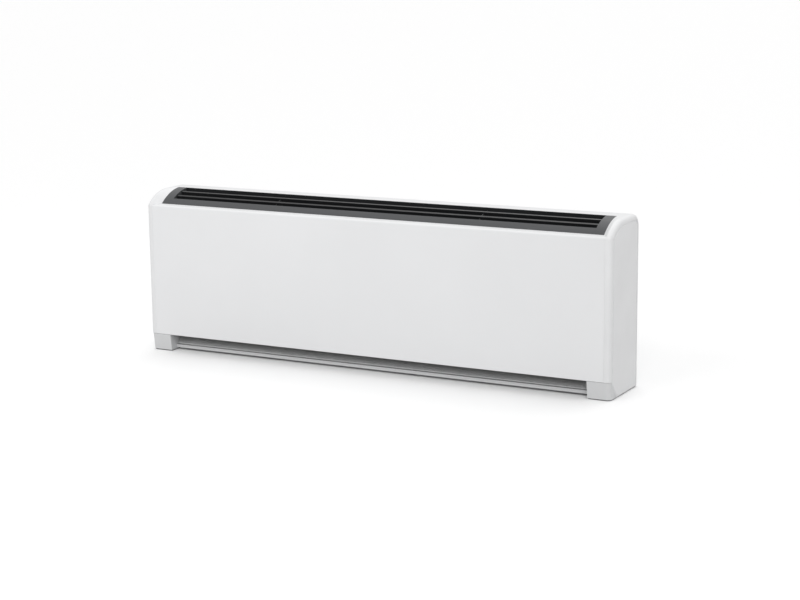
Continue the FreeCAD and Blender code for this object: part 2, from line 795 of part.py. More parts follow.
def chassis_plate(name, side):
    """Zinc-coated side plate that carries the deck and the coil: a window for the coil's tube
    ends, a stepped toe clear of the intake slot, and a flange that stands on the base pan."""
    start = chassis_half if side > 0 else f"-{chassis_outer}"
    body = new_body(f"{name}_chassis_plate", start)
    floor = "(pan_floor + painted_sheet)"
    top = "(overall_height - top_rear_drop - 2 * zinc_sheet)"
    plate = sketch_on(body, "YZ_Plane")
    draw_outline(plate, [
        ("chassis_stand_depth", floor),
        (f"{rear_face} - 2 * painted_sheet", floor),
        (f"{rear_face} - 2 * painted_sheet", f"{floor} + pan_lip"),
        (rear_face, f"{floor} + pan_lip"),
        (rear_face, top),
        ("chassis_front_depth", top),
        ("chassis_front_depth", "chassis_toe_height"),
        ("chassis_toe_depth", "chassis_toe_height"),
        ("chassis_toe_depth", guide_underside),
        ("chassis_stand_depth", guide_underside),
    ])
    low = "coil_window_margin"
    thick = f"{coil_thick} - coil_window_margin"
    tall = f"{coil_tall} - coil_window_margin"
    draw_outline(plate, [
        coil_spot(low, low), coil_spot(thick, low), coil_spot(thick, tall), coil_spot(low, tall)])
    if side < 0:
        draw_circle(plate, "outfall_depth", f"{deck_top} + outfall_lift", "outfall_radius + seat_gap")
    pad(plate, "zinc_sheet")
    flange = sketch_on(body, "XY_Plane", floor)
    left = "0" if side > 0 else "-chassis_flange"
    right = "chassis_flange + zinc_sheet" if side > 0 else "zinc_sheet"
    draw_outline(flange, box_corners(
        left, "chassis_stand_depth", right, f"{rear_face} - 2 * painted_sheet"))
    pad(flange, "zinc_sheet")


fan_places = {
    "outer_left": f"-{outer_fan}",
    "inner_left": f"-{inner_fan}",
    "inner_right": inner_fan,
    "outer_right": outer_fan,
}
outlet_front = "(fan_axis_depth + tongue_offset)"
outlet_rear = "(fan_axis_depth + scroll_radius + 2.5 * scroll_step)"
outlet_half = f"({housing_width} / 2 - moulded_wall)"


def fan_deck():
    """Zinc-coated shelf across the chassis: the fans and the motor hang from it, and the air
    comes up through one opening over each fan."""
    body = section("fan_deck", [
        ("deck_front_depth", "deck_height - deck_flange"),
        ("deck_front_depth + zinc_sheet", "deck_height - deck_flange"),
        ("deck_front_depth + zinc_sheet", "deck_height"),
        (rear_face, "deck_height"),
        (rear_face, deck_top),
        ("deck_front_depth", deck_top),
    ], f"2 * {chassis_half}")
    openings = sketch_on(body, "XY_Plane", deck_top)
    for place in fan_places.values():
        draw_outline(openings, box_corners(
            f"{place} - {outlet_half}", outlet_front, f"{place} + {outlet_half}", outlet_rear))
    pocket(openings, "2 * zinc_sheet", symmetric=True)


def scroll_corners(wall, top):
    """Fan scroll outline by the design-square method: three arcs, each one step larger than the
    last, then a straight wall up to the outlet."""
    half_step = "scroll_step / 2"
    first = f"(scroll_radius + {wall})"
    second = f"(scroll_radius + scroll_step + {wall})"
    third = f"(scroll_radius + 2 * scroll_step + {wall})"
    tongue = f"(tongue_offset - {wall})"
    lip = f"-{half_step} + sqrt({first}^2 - ({tongue} + {half_step})^2)"
    return [
        (tongue, top),
        (tongue, lip, first, LEFT),
        (f"-{half_step} - {first}", f"-{half_step}", second, LEFT),
        (half_step, f"-{half_step} - {second}", third, LEFT),
        (f"{half_step} + {third}", half_step),
        (f"{half_step} + {third}", top),
    ]


def fan_housing(name, place):
    """Moulded scroll housing, open at the top and with a round inlet in each side."""
    body = new_body(f"{name}_fan_housing", place, "fan_axis_depth", "fan_axis_height")
    top = "(deck_height - fan_axis_height)"
    shell = sketch_on(body, "YZ_Plane")
    draw_outline(shell, scroll_corners("moulded_wall", top))
    pad(shell, housing_width, symmetric=True)
    air_space = sketch_on(body, "YZ_Plane")
    draw_outline(air_space, scroll_corners("0", f"{top} + moulded_wall"))
    pocket(air_space, f"2 * {outlet_half}", symmetric=True)
    inlets = sketch_on(body, "YZ_Plane")
    draw_circle(inlets, "0", "0", "inlet_radius")
    pocket(inlets)


def ring(radius, bore, length, start):
    """A plain ring about the X axis, from a start along it."""
    base = FreeCAD.Vector(start, 0, 0)
    outside = Part.makeCylinder(radius, length, base, ALONG)
    return outside.cut(Part.makeCylinder(bore, length, base, ALONG))


def wheel_shape():
    """Fan wheel: forward-curved blades between two end rings, a middle disc and a hub."""
    width, edge, thick = size(wheel_width), size("wheel_ring_thickness"), size("wheel_disc")
    outer = size("wheel_radius")
    inner = size("wheel_radius - wheel_ring")
    bore = size("shaft_radius + shaft_play")
    hub = size("wheel_hub_length")
    sweep, skin = size("wheel_blade_sweep"), size("wheel_blade_thickness")
    root, tip = inner + skin / 2, outer - skin
    bow = (root + tip) / 2

    def at(radius, turn):
        return FreeCAD.Vector(-width / 2, radius, turn)

    back = Part.Arc(at(root, -skin / 2), at(bow, sweep / 4 - skin), at(tip, sweep - skin)).toShape()
    face = Part.Arc(at(tip, sweep), at(bow, sweep / 4), at(root, skin / 2)).toShape()
    tip_edge = Part.makeLine(at(tip, sweep - skin), at(tip, sweep))
    root_edge = Part.makeLine(at(root, skin / 2), at(root, -skin / 2))
    profile = Part.Face(Part.Wire([back, tip_edge, face, root_edge]))
    blade = profile.extrude(FreeCAD.Vector(width, 0, 0))
    blades = []
    total = count("wheel_blades")
    for number in range(total):
        next_blade = blade.copy()
        next_blade.rotate(FreeCAD.Vector(), ALONG, 360 * number / total)
        blades.append(next_blade)
    rims = [ring(outer, inner, edge, -width / 2), ring(outer, inner, edge, width / 2 - edge)]
    disc = ring(inner + skin, bore, thick, -thick / 2)
    boss = ring(size("wheel_hub_radius"), bore, hub, -hub / 2)
    return disc.multiFuse([boss] + rims + blades).removeSplitter()


def fan_wheels():
    """Four like wheels on the shaft, one in each housing."""
    shape = wheel_shape()
    for name, place in fan_places.items():
        formed(f"{name}_fan_wheel", shape.copy(), place, "fan_axis_depth", "fan_axis_height")


def turned(label, profile, across="0"):
    """A piece turned about the fan axis from a profile of (along, radius) corners."""
    body = new_body(label, across, "fan_axis_depth", "fan_axis_height")
    sketch = sketch_on(body, "XZ_Plane")
    draw_outline(sketch, profile)
    feature = body.newObject("PartDesign::Revolution", "turning")
    feature.Profile = sketch
    feature.ReferenceAxis = (sketch, ["H_Axis"])
    feature.Angle = 360
    return body


def fan_drive():
    """Shaft, motor, its rubber rings and cradle, and the outboard bearings with their brackets."""
    shaft_half = f"({chassis_half} - shaft_end_gap)"
    turned("fan_shaft", box_corners(f"-{shaft_half}", "0", shaft_half, "shaft_radius"))
    bore = "(shaft_radius + shaft_play)"
    turned("fan_motor", [
        ("-boss_half", bore),
        ("boss_half", bore),
        ("boss_half", "boss_radius"),
        ("motor_half", "boss_radius"),
        ("motor_half", "motor_radius - motor_bell"),
        ("motor_half - motor_bell", "motor_radius"),
        ("motor_bell - motor_half", "motor_radius"),
        ("-motor_half", "motor_radius - motor_bell"),
        ("-motor_half", "boss_radius"),
        ("-boss_half", "boss_radius"),
    ])
    middle = "(cradle_half - cradle_sheet / 2)"
    ring_bore = "(boss_radius + shaft_play)"
    for name, side in SIDES.items():
        turned(f"{name}_motor_ring", box_corners(
            "-ring_width / 2", ring_bore, "ring_width / 2", "ring_radius"), f"{side} * {middle}")
        turned(f"{name}_bearing", box_corners(
            "-bearing_width / 2", bore, "bearing_width / 2", "bearing_radius"),
            f"{side} * {bearing_place}")

    hang = "(deck_height - fan_axis_height)"
    cradle = new_body("motor_cradle", "0", "fan_axis_depth", "fan_axis_height")
    frame = sketch_on(cradle, "XZ_Plane")
    inner = "(cradle_half - cradle_sheet)"
    draw_outline(frame, [
        ("-cradle_half", "-cradle_drop"),
        (f"-{inner}", "-cradle_drop"),
        (f"-{inner}", f"{hang} - cradle_sheet"),
        (inner, f"{hang} - cradle_sheet"),
        (inner, "-cradle_drop"),
        ("cradle_half", "-cradle_drop"),
        ("cradle_half", hang),
        ("-cradle_half", hang),
    ])
    bent = pad(frame, "cradle_depth", symmetric=True)
    low = size("-cradle_drop")
    fillet(bent, "cradle_corner", lambda p: near(p.z, low) and not near(p.y, 0))
    eyes = sketch_on(cradle, "YZ_Plane")
    draw_circle(eyes, "0", "0", "ring_radius + shaft_play")
    pocket(eyes)

    for name, side in SIDES.items():
        place = f"{side} * {bearing_place}"
        bracket = new_body(f"{name}_bearing_bracket", place, "fan_axis_depth", "fan_axis_height")
        plate = sketch_on(bracket, "YZ_Plane", "-cradle_sheet / 2")
        half = "bracket_width / 2"
        draw_outline(plate, [
            (f"-{half}", hang),
            (f"-{half}", "0", half, LEFT),
            ("0", f"-{half}", half, LEFT),
            (half, "0"),
            (half, hang),
        ])
        draw_circle(plate, "0", "0", "bearing_radius + shaft_play")
        pad(plate, "cradle_sheet")
        tab = sketch_on(bracket, "XY_Plane", f"{hang} - cradle_sheet")
        left = "-cradle_sheet / 2" if side > 0 else "cradle_sheet / 2 - bracket_flange"
        draw_outline(tab, box_corners(left, f"-{half}", f"{left} + bracket_flange", half))
        pad(tab, "cradle_sheet")


def coil_body(label, across="0"):
    """A body that leans back with the coil, about the coil's lower front edge."""
    body = new_body(label, across, "coil_depth", coil_height)
    body.Placement = FreeCAD.Placement(
        FreeCAD.Vector(), FreeCAD.Rotation(FreeCAD.Vector(-1, 0, 0), size(coil_tilt)))
    body.setExpression("Placement.Rotation.Angle", bound(coil_tilt))
    return body


def tube_spot(line, tube):
    """Thickness and height of one tube in the coil."""
    return f"row_pitch * {line + 0.5}", f"{tube_pitch} * {tube + 0.5}"


def every_tube():
    """The line and number of each tube."""
    return [(line, tube) for line in range(count("coil_rows")) for tube in range(count("coil_tubes"))]


def coil_block(label, across, margin, length, symmetric):
    """A block or plate over the coil's end outline, pierced by every tube."""
    body = coil_body(label, across)
    outline = sketch_on(body, "YZ_Plane")
    draw_outline(outline, box_corners(
        f"-{margin}", f"-{margin}", f"{coil_thick} + {margin}", f"{coil_tall} + {margin}"))
    for line, tube in every_tube():
        draw_circle(outline, *tube_spot(line, tube), "tube_radius + tube_play")
    pad(outline, length, symmetric)


def coil():
    """Finned block and its two tube sheets, which are held against the chassis plates."""
    coil_block("coil_fins", "0", "0", f"2 * ({chassis_half} - tube_sheet)", True)
    for name, side in SIDES.items():
        start = f"{chassis_half} - tube_sheet" if side > 0 else f"-{chassis_half}"
        coil_block(f"{name}_tube_sheet", start, "tube_sheet_margin", "tube_sheet", False)


header_place = f"-({chassis_outer} + header_clearance + header_radius)"
TILT_UP = FreeCAD.Vector(0, size(f"sin({coil_tilt})"), size(f"cos({coil_tilt})"))


def coil_hairpins():
    """Copper hairpin tubes: each runs through one row, turns outside the right-hand plate and
    comes back through the other row to the headers."""
    pins = []
    radius = size("tube_radius")
    turn_start = f"{chassis_outer} + hairpin_reach"
    tube_end = f"{header_place} + header_wall"
    for tube in range(count("coil_tubes")):
        near_row = coil_spot(*tube_spot(0, tube))
        far_row = coil_spot(*tube_spot(1, tube))
        first, turn = spot(tube_end, *near_row), spot(turn_start, *near_row)
        after, last = spot(turn_start, *far_row), spot(tube_end, *far_row)
        round_end = Part.Face(Part.Wire(Part.makeCircle(radius, turn, ALONG)))
        bend = round_end.revolve((turn + after) / 2, TILT_UP, 180)
        legs = [Part.makeCylinder(radius, (turn - first).Length, first, ALONG),
                Part.makeCylinder(radius, (after - last).Length, last, ALONG)]
        pins.append(bend.multiFuse(legs).removeSplitter())
    formed("coil_hairpins", Part.makeCompound(pins))


def header(label, line, low, high, stub):
    """Copper header along one row's tube ends, with a stub pipe that runs back to the wall."""
    thick = tube_spot(line, 0)[0]
    radius, wall = size("header_radius"), size("header_wall")
    foot_spot = spot(header_place, *coil_spot(thick, low))
    length = size(f"{high} - ({low})")
    stub_spot = spot(header_place, *coil_spot(thick, stub))
    reach = size(f"{union_front} + union_socket") - stub_spot.y
    pipe = Part.makeCylinder(radius, length, foot_spot, TILT_UP)
    branch = Part.makeCylinder(size("stub_radius"), reach, stub_spot, BACK)
    cuts = [Part.makeCylinder(radius - wall, length - 2 * wall, foot_spot + TILT_UP * wall, TILT_UP),
            Part.makeCylinder(size("stub_radius") - wall, reach, stub_spot, BACK)]
    for tube in range(count("coil_tubes")):
        socket = spot(header_place, *coil_spot(*tube_spot(line, tube)))
        cuts.append(Part.makeCylinder(size("tube_radius + tube_play"), radius, socket, ALONG))
    formed(label, pipe.fuse(branch).cut(Part.makeCompound(cuts)).removeSplitter())


def water_union(label, line, stub):
    """Brass union on a header's stub: a hexagon, a round body and an inside pipe thread that
    faces the wall."""
    centre = coil_spot(tube_spot(line, 0)[0], stub)
    base = spot(header_place, union_front, centre[1])
    corners = []
    for step in range(6):
        angle = math.radians(60 * step + 30)
        corners.append(base + FreeCAD.Vector(math.cos(angle), 0, math.sin(angle)) * size("union_hex"))
    flats = Part.Face(Part.makePolygon(corners + corners[:1])).extrude(BACK * size("union_hex_length"))
    body = Part.makeCylinder(size("union_radius"), size("union_length"), base, BACK)
    thread = size("union_thread_length")
    mouth = base + BACK * (size("union_length") - thread)
    cuts = [Part.makeCylinder(size("stub_radius + shaft_play"), size("union_socket"), base, BACK),
            Part.makeCylinder(size("stub_radius - header_wall"), size("union_length"), base, BACK),
            Part.makeCylinder(size("union_thread_radius"), thread, mouth, BACK)]
    formed(label, flats.fuse(body).cut(Part.makeCompound(cuts)).removeSplitter())


def air_vent():
    """Brass vent on the top of the return header, and the slotted screw that is turned to let
    trapped air out."""
    base = spot(header_place, *coil_spot(tube_spot(0, 0)[0], return_high))
    length, depth = size("vent_length"), size("vent_bore_depth")
    body = Part.makeCylinder(size("vent_radius"), length, base, TILT_UP)
    floor = base + TILT_UP * (length - depth)
    bore = Part.makeCylinder(size("vent_screw_radius + shaft_play"), depth, floor, TILT_UP)
    formed("air_vent_body", body.cut(bore))
    screw_length, slot = size("vent_screw_length"), size("vent_screw_slot")
    foot_spot = floor + TILT_UP * size("seat_gap")
    screw = Part.makeCylinder(size("vent_screw_radius"), screw_length, foot_spot, TILT_UP)
    blade = Part.makeBox(4 * size("vent_screw_radius"), slot, 2 * slot)
    blade.translate(FreeCAD.Vector(-2 * size("vent_screw_radius"), -slot / 2, -slot))
    blade.rotate(FreeCAD.Vector(), ALONG, -size(coil_tilt))
    blade.translate(foot_spot + TILT_UP * screw_length)
    formed("air_vent_screw", screw.cut(blade))


def coil_baffle():
    """Sheet that closes the space between the top of the coil and the back panel."""
    front, low = coil_spot(f"{coil_thick} + seat_gap", coil_tall)
    high = "(overall_height - baffle_drop)"
    section("coil_baffle", [
        (front, low),
        (rear_face, high),
        (rear_face, f"{high} + deck_flange"),
        (f"{rear_face} - zinc_sheet", f"{high} + deck_flange"),
        (f"{rear_face} - zinc_sheet", f"{high} + zinc_sheet"),
        (front, f"{low} + zinc_sheet"),
    ], f"2 * ({chassis_half} - tube_sheet)")


def drain_pan():
    """Moulded condensate trough on the deck under the coil's lower edge, with an outfall pipe
    through the left chassis plate."""
    half = f"({chassis_half} - tube_sheet - seat_gap)"
    floor = f"({deck_top} + moulded_wall)"
    body = section("drain_pan", [
        ("drain_front_depth", deck_top),
        ("drain_rear_depth", deck_top),
        ("drain_rear_depth", f"{deck_top} + drain_rear_height"),
        ("drain_rear_depth - moulded_wall", f"{deck_top} + drain_rear_height"),
        ("drain_rear_depth - moulded_wall", floor),
        ("drain_front_depth + moulded_wall", floor),
        ("drain_front_depth + moulded_wall", f"{deck_top} + drain_front_height"),
        ("drain_front_depth", f"{deck_top} + drain_front_height"),
    ], f"2 * {half}")
    for start in (f"-{half}", f"{half} - moulded_wall"):
        wall = sketch_on(body, "YZ_Plane", start)
        draw_outline(wall, box_corners("drain_front_depth", deck_top,
                                       "drain_rear_depth", f"{deck_top} + drain_rear_height"))
        pad(wall, "moulded_wall")
    lift = f"{deck_top} + outfall_lift"
    pipe = sketch_on(body, "YZ_Plane", f"-{half} - outfall_length")
    draw_circle(pipe, "outfall_depth", lift, "outfall_radius")
    pad(pipe, "outfall_length")
    bore = sketch_on(body, "YZ_Plane", f"-{half} - outfall_length")
    draw_circle(bore, "outfall_depth", lift, "outfall_radius - moulded_wall")
    pocket(bore, "outfall_length + moulded_wall", forward=True)


def side_tray():
    """Small tray on the left chassis plate that catches the outfall and the valves' drips, with
    a spout towards the wall for the drain hose."""
    body = new_body("side_drain_tray", f"-({chassis_outer} + {side_tray_width})")
    outline = sketch_on(body, "XY_Plane", "side_tray_low")
    draw_outline(outline, box_corners("0", "side_tray_front", side_tray_width, "side_tray_rear"))
    block = pad(outline, "side_tray_height")
    low = size("side_tray_low")
    high = size("side_tray_low + side_tray_height")
    fillet(block, "3 * moulded_wall", lambda p: near(p.x, 0) and low < p.z < high and not near(
        p.y, size("(side_tray_front + side_tray_rear) / 2")))
    hollow = sketch_on(body, "XY_Plane", "side_tray_low + moulded_wall")
    draw_outline(hollow, box_corners("moulded_wall", "side_tray_front + moulded_wall",
                                     f"{side_tray_width} - moulded_wall", "side_tray_rear - moulded_wall"))
    pocket(hollow, "side_tray_height", forward=True)
    spout = sketch_on(body, "XZ_Plane", "-side_tray_rear")
    draw_circle(spout, f"{side_tray_width} / 2", spout_height, "spout_radius")
    barrel = pad(spout, "spout_length")
    barrel.Reversed = True
    bore = sketch_on(body, "XZ_Plane", "-side_tray_rear - spout_length")
    draw_circle(bore, f"{side_tray_width} / 2", spout_height, "spout_radius - moulded_wall")
    pocket(bore, "spout_length + moulded_wall", forward=True)


gland_depth = "((box_front + box_rear) / 2)"


def electrical_box():
    """Terminal box on the right chassis plate, with its lid, terminal block and cable gland, and
    the motor's run capacitor above it."""
    depth = "(box_width - lid_thickness)"
    body = new_body("terminal_box", chassis_outer)
    outline = sketch_on(body, "YZ_Plane")
    draw_outline(outline, box_corners("box_front", "box_low", "box_rear", "box_high"))
    pad(outline, depth)
    hollow = sketch_on(body, "YZ_Plane", "moulded_wall")
    draw_outline(hollow, box_corners("box_front + moulded_wall", "box_low + moulded_wall",
                                     "box_rear - moulded_wall", "box_high - moulded_wall"))
    pocket(hollow, depth, forward=True)
    entry = sketch_on(body, "XY_Plane", "box_low")
    draw_circle(entry, f"{depth} / 2", gland_depth, "gland_bore")
    pocket(entry, "2 * moulded_wall", symmetric=True)

    lid = new_body("terminal_box_lid", f"{chassis_outer} + {depth}")
    cover = sketch_on(lid, "YZ_Plane")
    draw_outline(cover, box_corners("box_front", "box_low", "box_rear", "box_high"))
    plate = pad(cover, "lid_thickness")
    face = size("lid_thickness")
    fillet(plate, "lid_thickness / 2", lambda p: near(p.x, face))

    block = new_body("terminal_block", f"{chassis_outer} + moulded_wall")
    middle = "((box_low + box_high) / 2)"
    base = sketch_on(block, "YZ_Plane")
    draw_outline(base, box_corners(
        f"{gland_depth} - block_length / 2", f"{middle} - block_height / 2",
        f"{gland_depth} + block_length / 2", f"{middle} + block_height / 2"))
    pad(base, "block_width")
    ways = sketch_on(block, "YZ_Plane", "block_width")
    for way in range(count("block_ways")):
        place = f"{gland_depth} + block_length * ({way} + 0.5) / block_ways - block_length / 2"
        draw_circle(ways, place, middle, "block_way_radius")
    pocket(ways, "block_width / 2", forward=False)

    gland = new_body("cable_gland", f"{chassis_outer} + {depth} / 2", gland_depth, "box_low - gland_length")
    barrel = sketch_on(gland, "XY_Plane")
    draw_circle(barrel, "0", "0", "gland_radius")
    draw_circle(barrel, "0", "0", "gland_bore")
    pad(barrel, "gland_length")

    can = new_body("run_capacitor", f"{chassis_outer} + capacitor_radius + seat_gap",
                   f"{gland_depth} - capacitor_length / 2", "capacitor_height")
    tube = sketch_on(can, "XZ_Plane")
    draw_circle(tube, "0", "0", "capacitor_radius")
    shell = pad(tube, "capacitor_length")
    shell.Reversed = True
    chamfer(shell, "moulded_wall", lambda p: near(p.y, 0) or near(p.y, size("capacitor_length")))


filter_half = f"({chassis_half} - guide_wall - seat_gap)"
filter_middle = "(filter_low + filter_thickness / 2)"


def air_filter():
    """Sliding air filter: a frame with stiles, grooved inside for one sheet of mesh, and a leaning
    screen across the intake, folded at its head onto the frame's front bar."""
    frame = new_body("filter_frame")
    outline = sketch_on(frame, "XY_Plane", "filter_low")
    draw_outline(outline, box_corners(
        f"-{filter_half}", "filter_front_depth", filter_half, "filter_rear_depth"))
    bays = count("filter_stiles") + 1
    bay = f"((2 * {filter_half} - filter_bar) / {bays})"
    for number in range(bays):
        left = f"-{filter_half} + filter_bar + {bay} * {number}"
        draw_outline(outline, box_corners(
            left, "filter_front_depth + filter_bar",
            f"{left} + {bay} - filter_bar", "filter_rear_depth - filter_bar"))
    pad(outline, "filter_thickness")
    groove = sketch_on(frame, "XY_Plane", filter_middle)
    draw_outline(groove, box_corners(
        f"filter_bar / 2 - {filter_half}", "filter_front_depth + filter_bar / 2",
        f"{filter_half} - filter_bar / 2", "filter_rear_depth - filter_bar / 2"))
    pocket(groove, "filter_mesh + seat_gap", symmetric=True)

    mesh = new_body("filter_mesh")
    sheet_outline = sketch_on(mesh, "XY_Plane", filter_middle)
    inset = "(filter_bar / 2 + seat_gap)"
    draw_outline(sheet_outline, box_corners(
        f"{inset} - {filter_half}", f"filter_front_depth + {inset}",
        f"{filter_half} - {inset}", f"filter_rear_depth - {inset}"))
    pad(sheet_outline, "filter_mesh", symmetric=True)

    head = "(filter_low + filter_thickness)"
    screen = section("intake_screen", [
        ("screen_foot_depth", "screen_foot_height"),
        ("screen_foot_depth + painted_sheet", "screen_foot_height"),
        ("screen_head_depth + painted_sheet", head),
        ("screen_head_depth", head),
    ], "overall_length - 2 * foot_width - 2 * screen_end_gap")
    fold = sketch_on(screen, "YZ_Plane")
    draw_outline(fold, box_corners(
        "screen_head_depth", f"{head} - painted_sheet", "filter_front_depth", head))
    pad(fold, f"2 * {filter_half}", symmetric=True)


def filter_guide(name, side):
    """Channel on a chassis plate that the filter's end slides in."""
    body = new_body(f"{name}_filter_guide", f"{side} * {chassis_half}", "filter_front_depth")
    low = f"({guide_underside} + guide_wall)"
    high = "(filter_low + filter_thickness + seat_gap)"
    web, lip = f"{-side} * guide_wall", f"{-side} * guide_reach"
    corners = [
        ("0", guide_underside),
        (lip, guide_underside),
        (lip, low),
        (web, low),
        (web, high),
        (lip, high),
        (lip, f"{high} + guide_wall"),
        ("0", f"{high} + guide_wall"),
    ]
    channel = sketch_on(body, "XZ_Plane")
    draw_outline(channel, corners)
    feature = pad(channel, "filter_rear_depth - filter_front_depth")
    feature.Reversed = True


for piece_builder in (front_panel, panel_insulation, top_panel, outlet_guide, grille_front_strip,
                      grille_blades, grille_cross_ribs, base_pan, rear_panel, fan_deck, fan_wheels, fan_drive,
                      coil, coil_hairpins, air_vent, coil_baffle, drain_pan, side_tray,
                      electrical_box, air_filter):
    piece_builder()
for side_name, side_sign in SIDES.items():
    for sided_builder in (end_cap, foot, grille_end, chassis_plate, filter_guide):
        sided_builder(side_name, side_sign)
for fan_name, fan_place in fan_places.items():
    fan_housing(fan_name, fan_place)
header("return_header", 0, f"({tube_pitch} / 2 - header_radius)", return_high, return_stub)
header("supply_header", 1, supply_low, f"({coil_tall} - {tube_pitch} / 2 + header_radius)", supply_stub)
water_union("return_union", 0, return_stub)
water_union("supply_union", 1, supply_stub)

doc.recompute()
for item in doc.Objects:
    if "Invalid" in item.State or "Error" in item.State:
        raise RuntimeError(f"{item.Label} failed: {item.State}")
for piece in PIECES:
    if piece.Shape.isNull() or not piece.Shape.isValid():
        raise RuntimeError(f"{piece.Label} has no valid shape")
for piece in PIECES:
    piece.Shape.exportStep(f"parts/{piece.Label}.step")
    print(piece.Label, len(piece.Shape.Solids), round(piece.Shape.Volume / 1000, 2))
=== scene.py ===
import math

import bpy
from mathutils import Euler, Matrix, Vector


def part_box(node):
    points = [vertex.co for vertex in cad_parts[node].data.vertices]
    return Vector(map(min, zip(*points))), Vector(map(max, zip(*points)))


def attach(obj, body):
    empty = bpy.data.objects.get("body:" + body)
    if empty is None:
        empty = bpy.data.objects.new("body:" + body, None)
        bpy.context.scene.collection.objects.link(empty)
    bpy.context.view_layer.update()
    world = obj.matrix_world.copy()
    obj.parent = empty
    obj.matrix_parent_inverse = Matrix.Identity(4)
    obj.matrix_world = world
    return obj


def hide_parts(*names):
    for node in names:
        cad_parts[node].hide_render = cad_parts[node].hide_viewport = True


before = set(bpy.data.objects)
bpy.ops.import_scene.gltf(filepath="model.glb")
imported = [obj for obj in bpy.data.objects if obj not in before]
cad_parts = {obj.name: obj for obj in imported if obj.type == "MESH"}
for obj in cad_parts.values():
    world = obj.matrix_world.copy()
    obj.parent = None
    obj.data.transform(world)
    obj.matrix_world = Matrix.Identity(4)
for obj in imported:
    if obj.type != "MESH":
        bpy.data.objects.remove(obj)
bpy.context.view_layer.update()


# Feet: a light grey toe under each end of the front panel. They are injection-moulded ABS with the
# fine spark-eroded grain of the mould, and clip into the casing from behind. A thin black rubber
# seal lies between each toe and the panel, a painted shade: a dark strip set into the gap to stand
# for the shadow there. A rubber pad under each end keeps dirt out.
FOOT_GREY, FOOT_ROUGH = (0.66, 0.665, 0.67), 0.5
FLOW_MARKS, FLOW_DARK, FLOW_LIGHT = 7, 0.97, 1.03
GLOSS_MARKS, GLOSS_DRIFT = 45, 0.06
MOULD_GRAIN, GRAIN_DEPTH = 1600, 0.000012
RAMP_LOW, RAMP_HIGH = 0.3, 0.7


def shader_of(material):
    """The shader that a finish is written on."""
    return material.node_tree.nodes["Principled BSDF"]


def finish(name, colour, roughness, metal=0.0):
    """A new material with its plain colour, roughness and metal written on the shader."""
    material = bpy.data.materials.new(name)
    material.use_nodes = True
    sockets = shader_of(material).inputs
    sockets["Base Color"].default_value = (*colour, 1)
    sockets["Roughness"].default_value = roughness
    sockets["Metallic"].default_value = metal
    return material


def blotches(material, per_metre, detail, stretch=(1, 1, 1)):
    """Noise with about so many blotches in a metre, packed closer along an axis by its stretch."""
    nodes, links = material.node_tree.nodes, material.node_tree.links
    place = nodes.new("ShaderNodeTexCoord")
    spread = nodes.new("ShaderNodeMapping")
    spread.inputs["Scale"].default_value = stretch
    noise = nodes.new("ShaderNodeTexNoise")
    noise.inputs["Scale"].default_value = per_metre
    noise.inputs["Detail"].default_value = detail
    links.new(place.outputs["Object"], spread.inputs["Vector"])
    links.new(spread.outputs["Vector"], noise.inputs["Vector"])
    return noise.outputs["Fac"]


def shade(material, pattern, dark, light):
    """Let the colour run from a first one to a second one over the middle of a pattern."""
    nodes, links = material.node_tree.nodes, material.node_tree.links
    ramp = nodes.new("ShaderNodeValToRGB")
    stops = ramp.color_ramp.elements
    for stop, position, colour in zip(stops, (RAMP_LOW, RAMP_HIGH), (dark, light)):
        stop.position = position
        stop.color = (*colour, 1)
    links.new(pattern, ramp.inputs["Fac"])
    links.new(ramp.outputs["Color"], shader_of(material).inputs["Base Color"])


def tint(colour, share):
    """A colour made lighter or darker by a share."""
    return tuple(channel * share for channel in colour)


def polish(material, pattern, low, high):
    """Let the roughness run from low to high over a pattern."""
    nodes, links = material.node_tree.nodes, material.node_tree.links
    span = nodes.new("ShaderNodeMapRange")
    span.inputs["To Min"].default_value = low
    span.inputs["To Max"].default_value = high
    links.new(pattern, span.inputs["Value"])
    links.new(span.outputs["Result"], shader_of(material).inputs["Roughness"])


def relief(material, pattern, height):
    """Raise the surface by a pattern."""
    nodes, links = material.node_tree.nodes, material.node_tree.links
    bump = nodes.new("ShaderNodeBump")
    bump.inputs["Distance"].default_value = height
    links.new(pattern, bump.inputs["Height"])
    links.new(bump.outputs["Normal"], shader_of(material).inputs["Normal"])


def moulded(name, colour, rough, grain=MOULD_GRAIN, depth=GRAIN_DEPTH):
    """Moulded plastic: a faint flow mottle, an uneven gloss and the grain of the mould."""
    material = finish(name, colour, rough)
    flow = blotches(material, FLOW_MARKS, detail=3)
    shade(material, flow, tint(colour, FLOW_DARK), tint(colour, FLOW_LIGHT))
    marks = blotches(material, GLOSS_MARKS, detail=4)
    polish(material, marks, rough - GLOSS_DRIFT, rough + GLOSS_DRIFT)
    relief(material, blotches(material, grain, detail=1), depth)
    return material


def dress(material, *names):
    """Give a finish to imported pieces."""
    for name in names:
        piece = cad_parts[name]
        piece.data.materials.clear()
        piece.data.materials.append(material)


def made_of(name, points, faces):
    """A new piece from its points and faces."""
    mesh = bpy.data.meshes.new(name)
    mesh.from_pydata(points, [], faces)
    piece = bpy.data.objects.new(name, mesh)
    bpy.context.scene.collection.objects.link(piece)
    return piece


def skin(name, rings):
    """A closed piece laid over a stack of rings, which all have the same number of points."""
    around = len(rings[0])
    points = [point for ring in rings for point in ring]
    faces = [tuple(reversed(range(around))), tuple(range(len(points) - around, len(points)))]
    for low in range(0, len(points) - around, around):
        high = low + around
        for step in range(around):
            after = (step + 1) % around
            faces.append((low + step, low + after, high + after, high + step))
    return made_of(name, points, faces)


dress(moulded("foot_plastic", FOOT_GREY, FOOT_ROUGH), "left_foot", "right_foot")

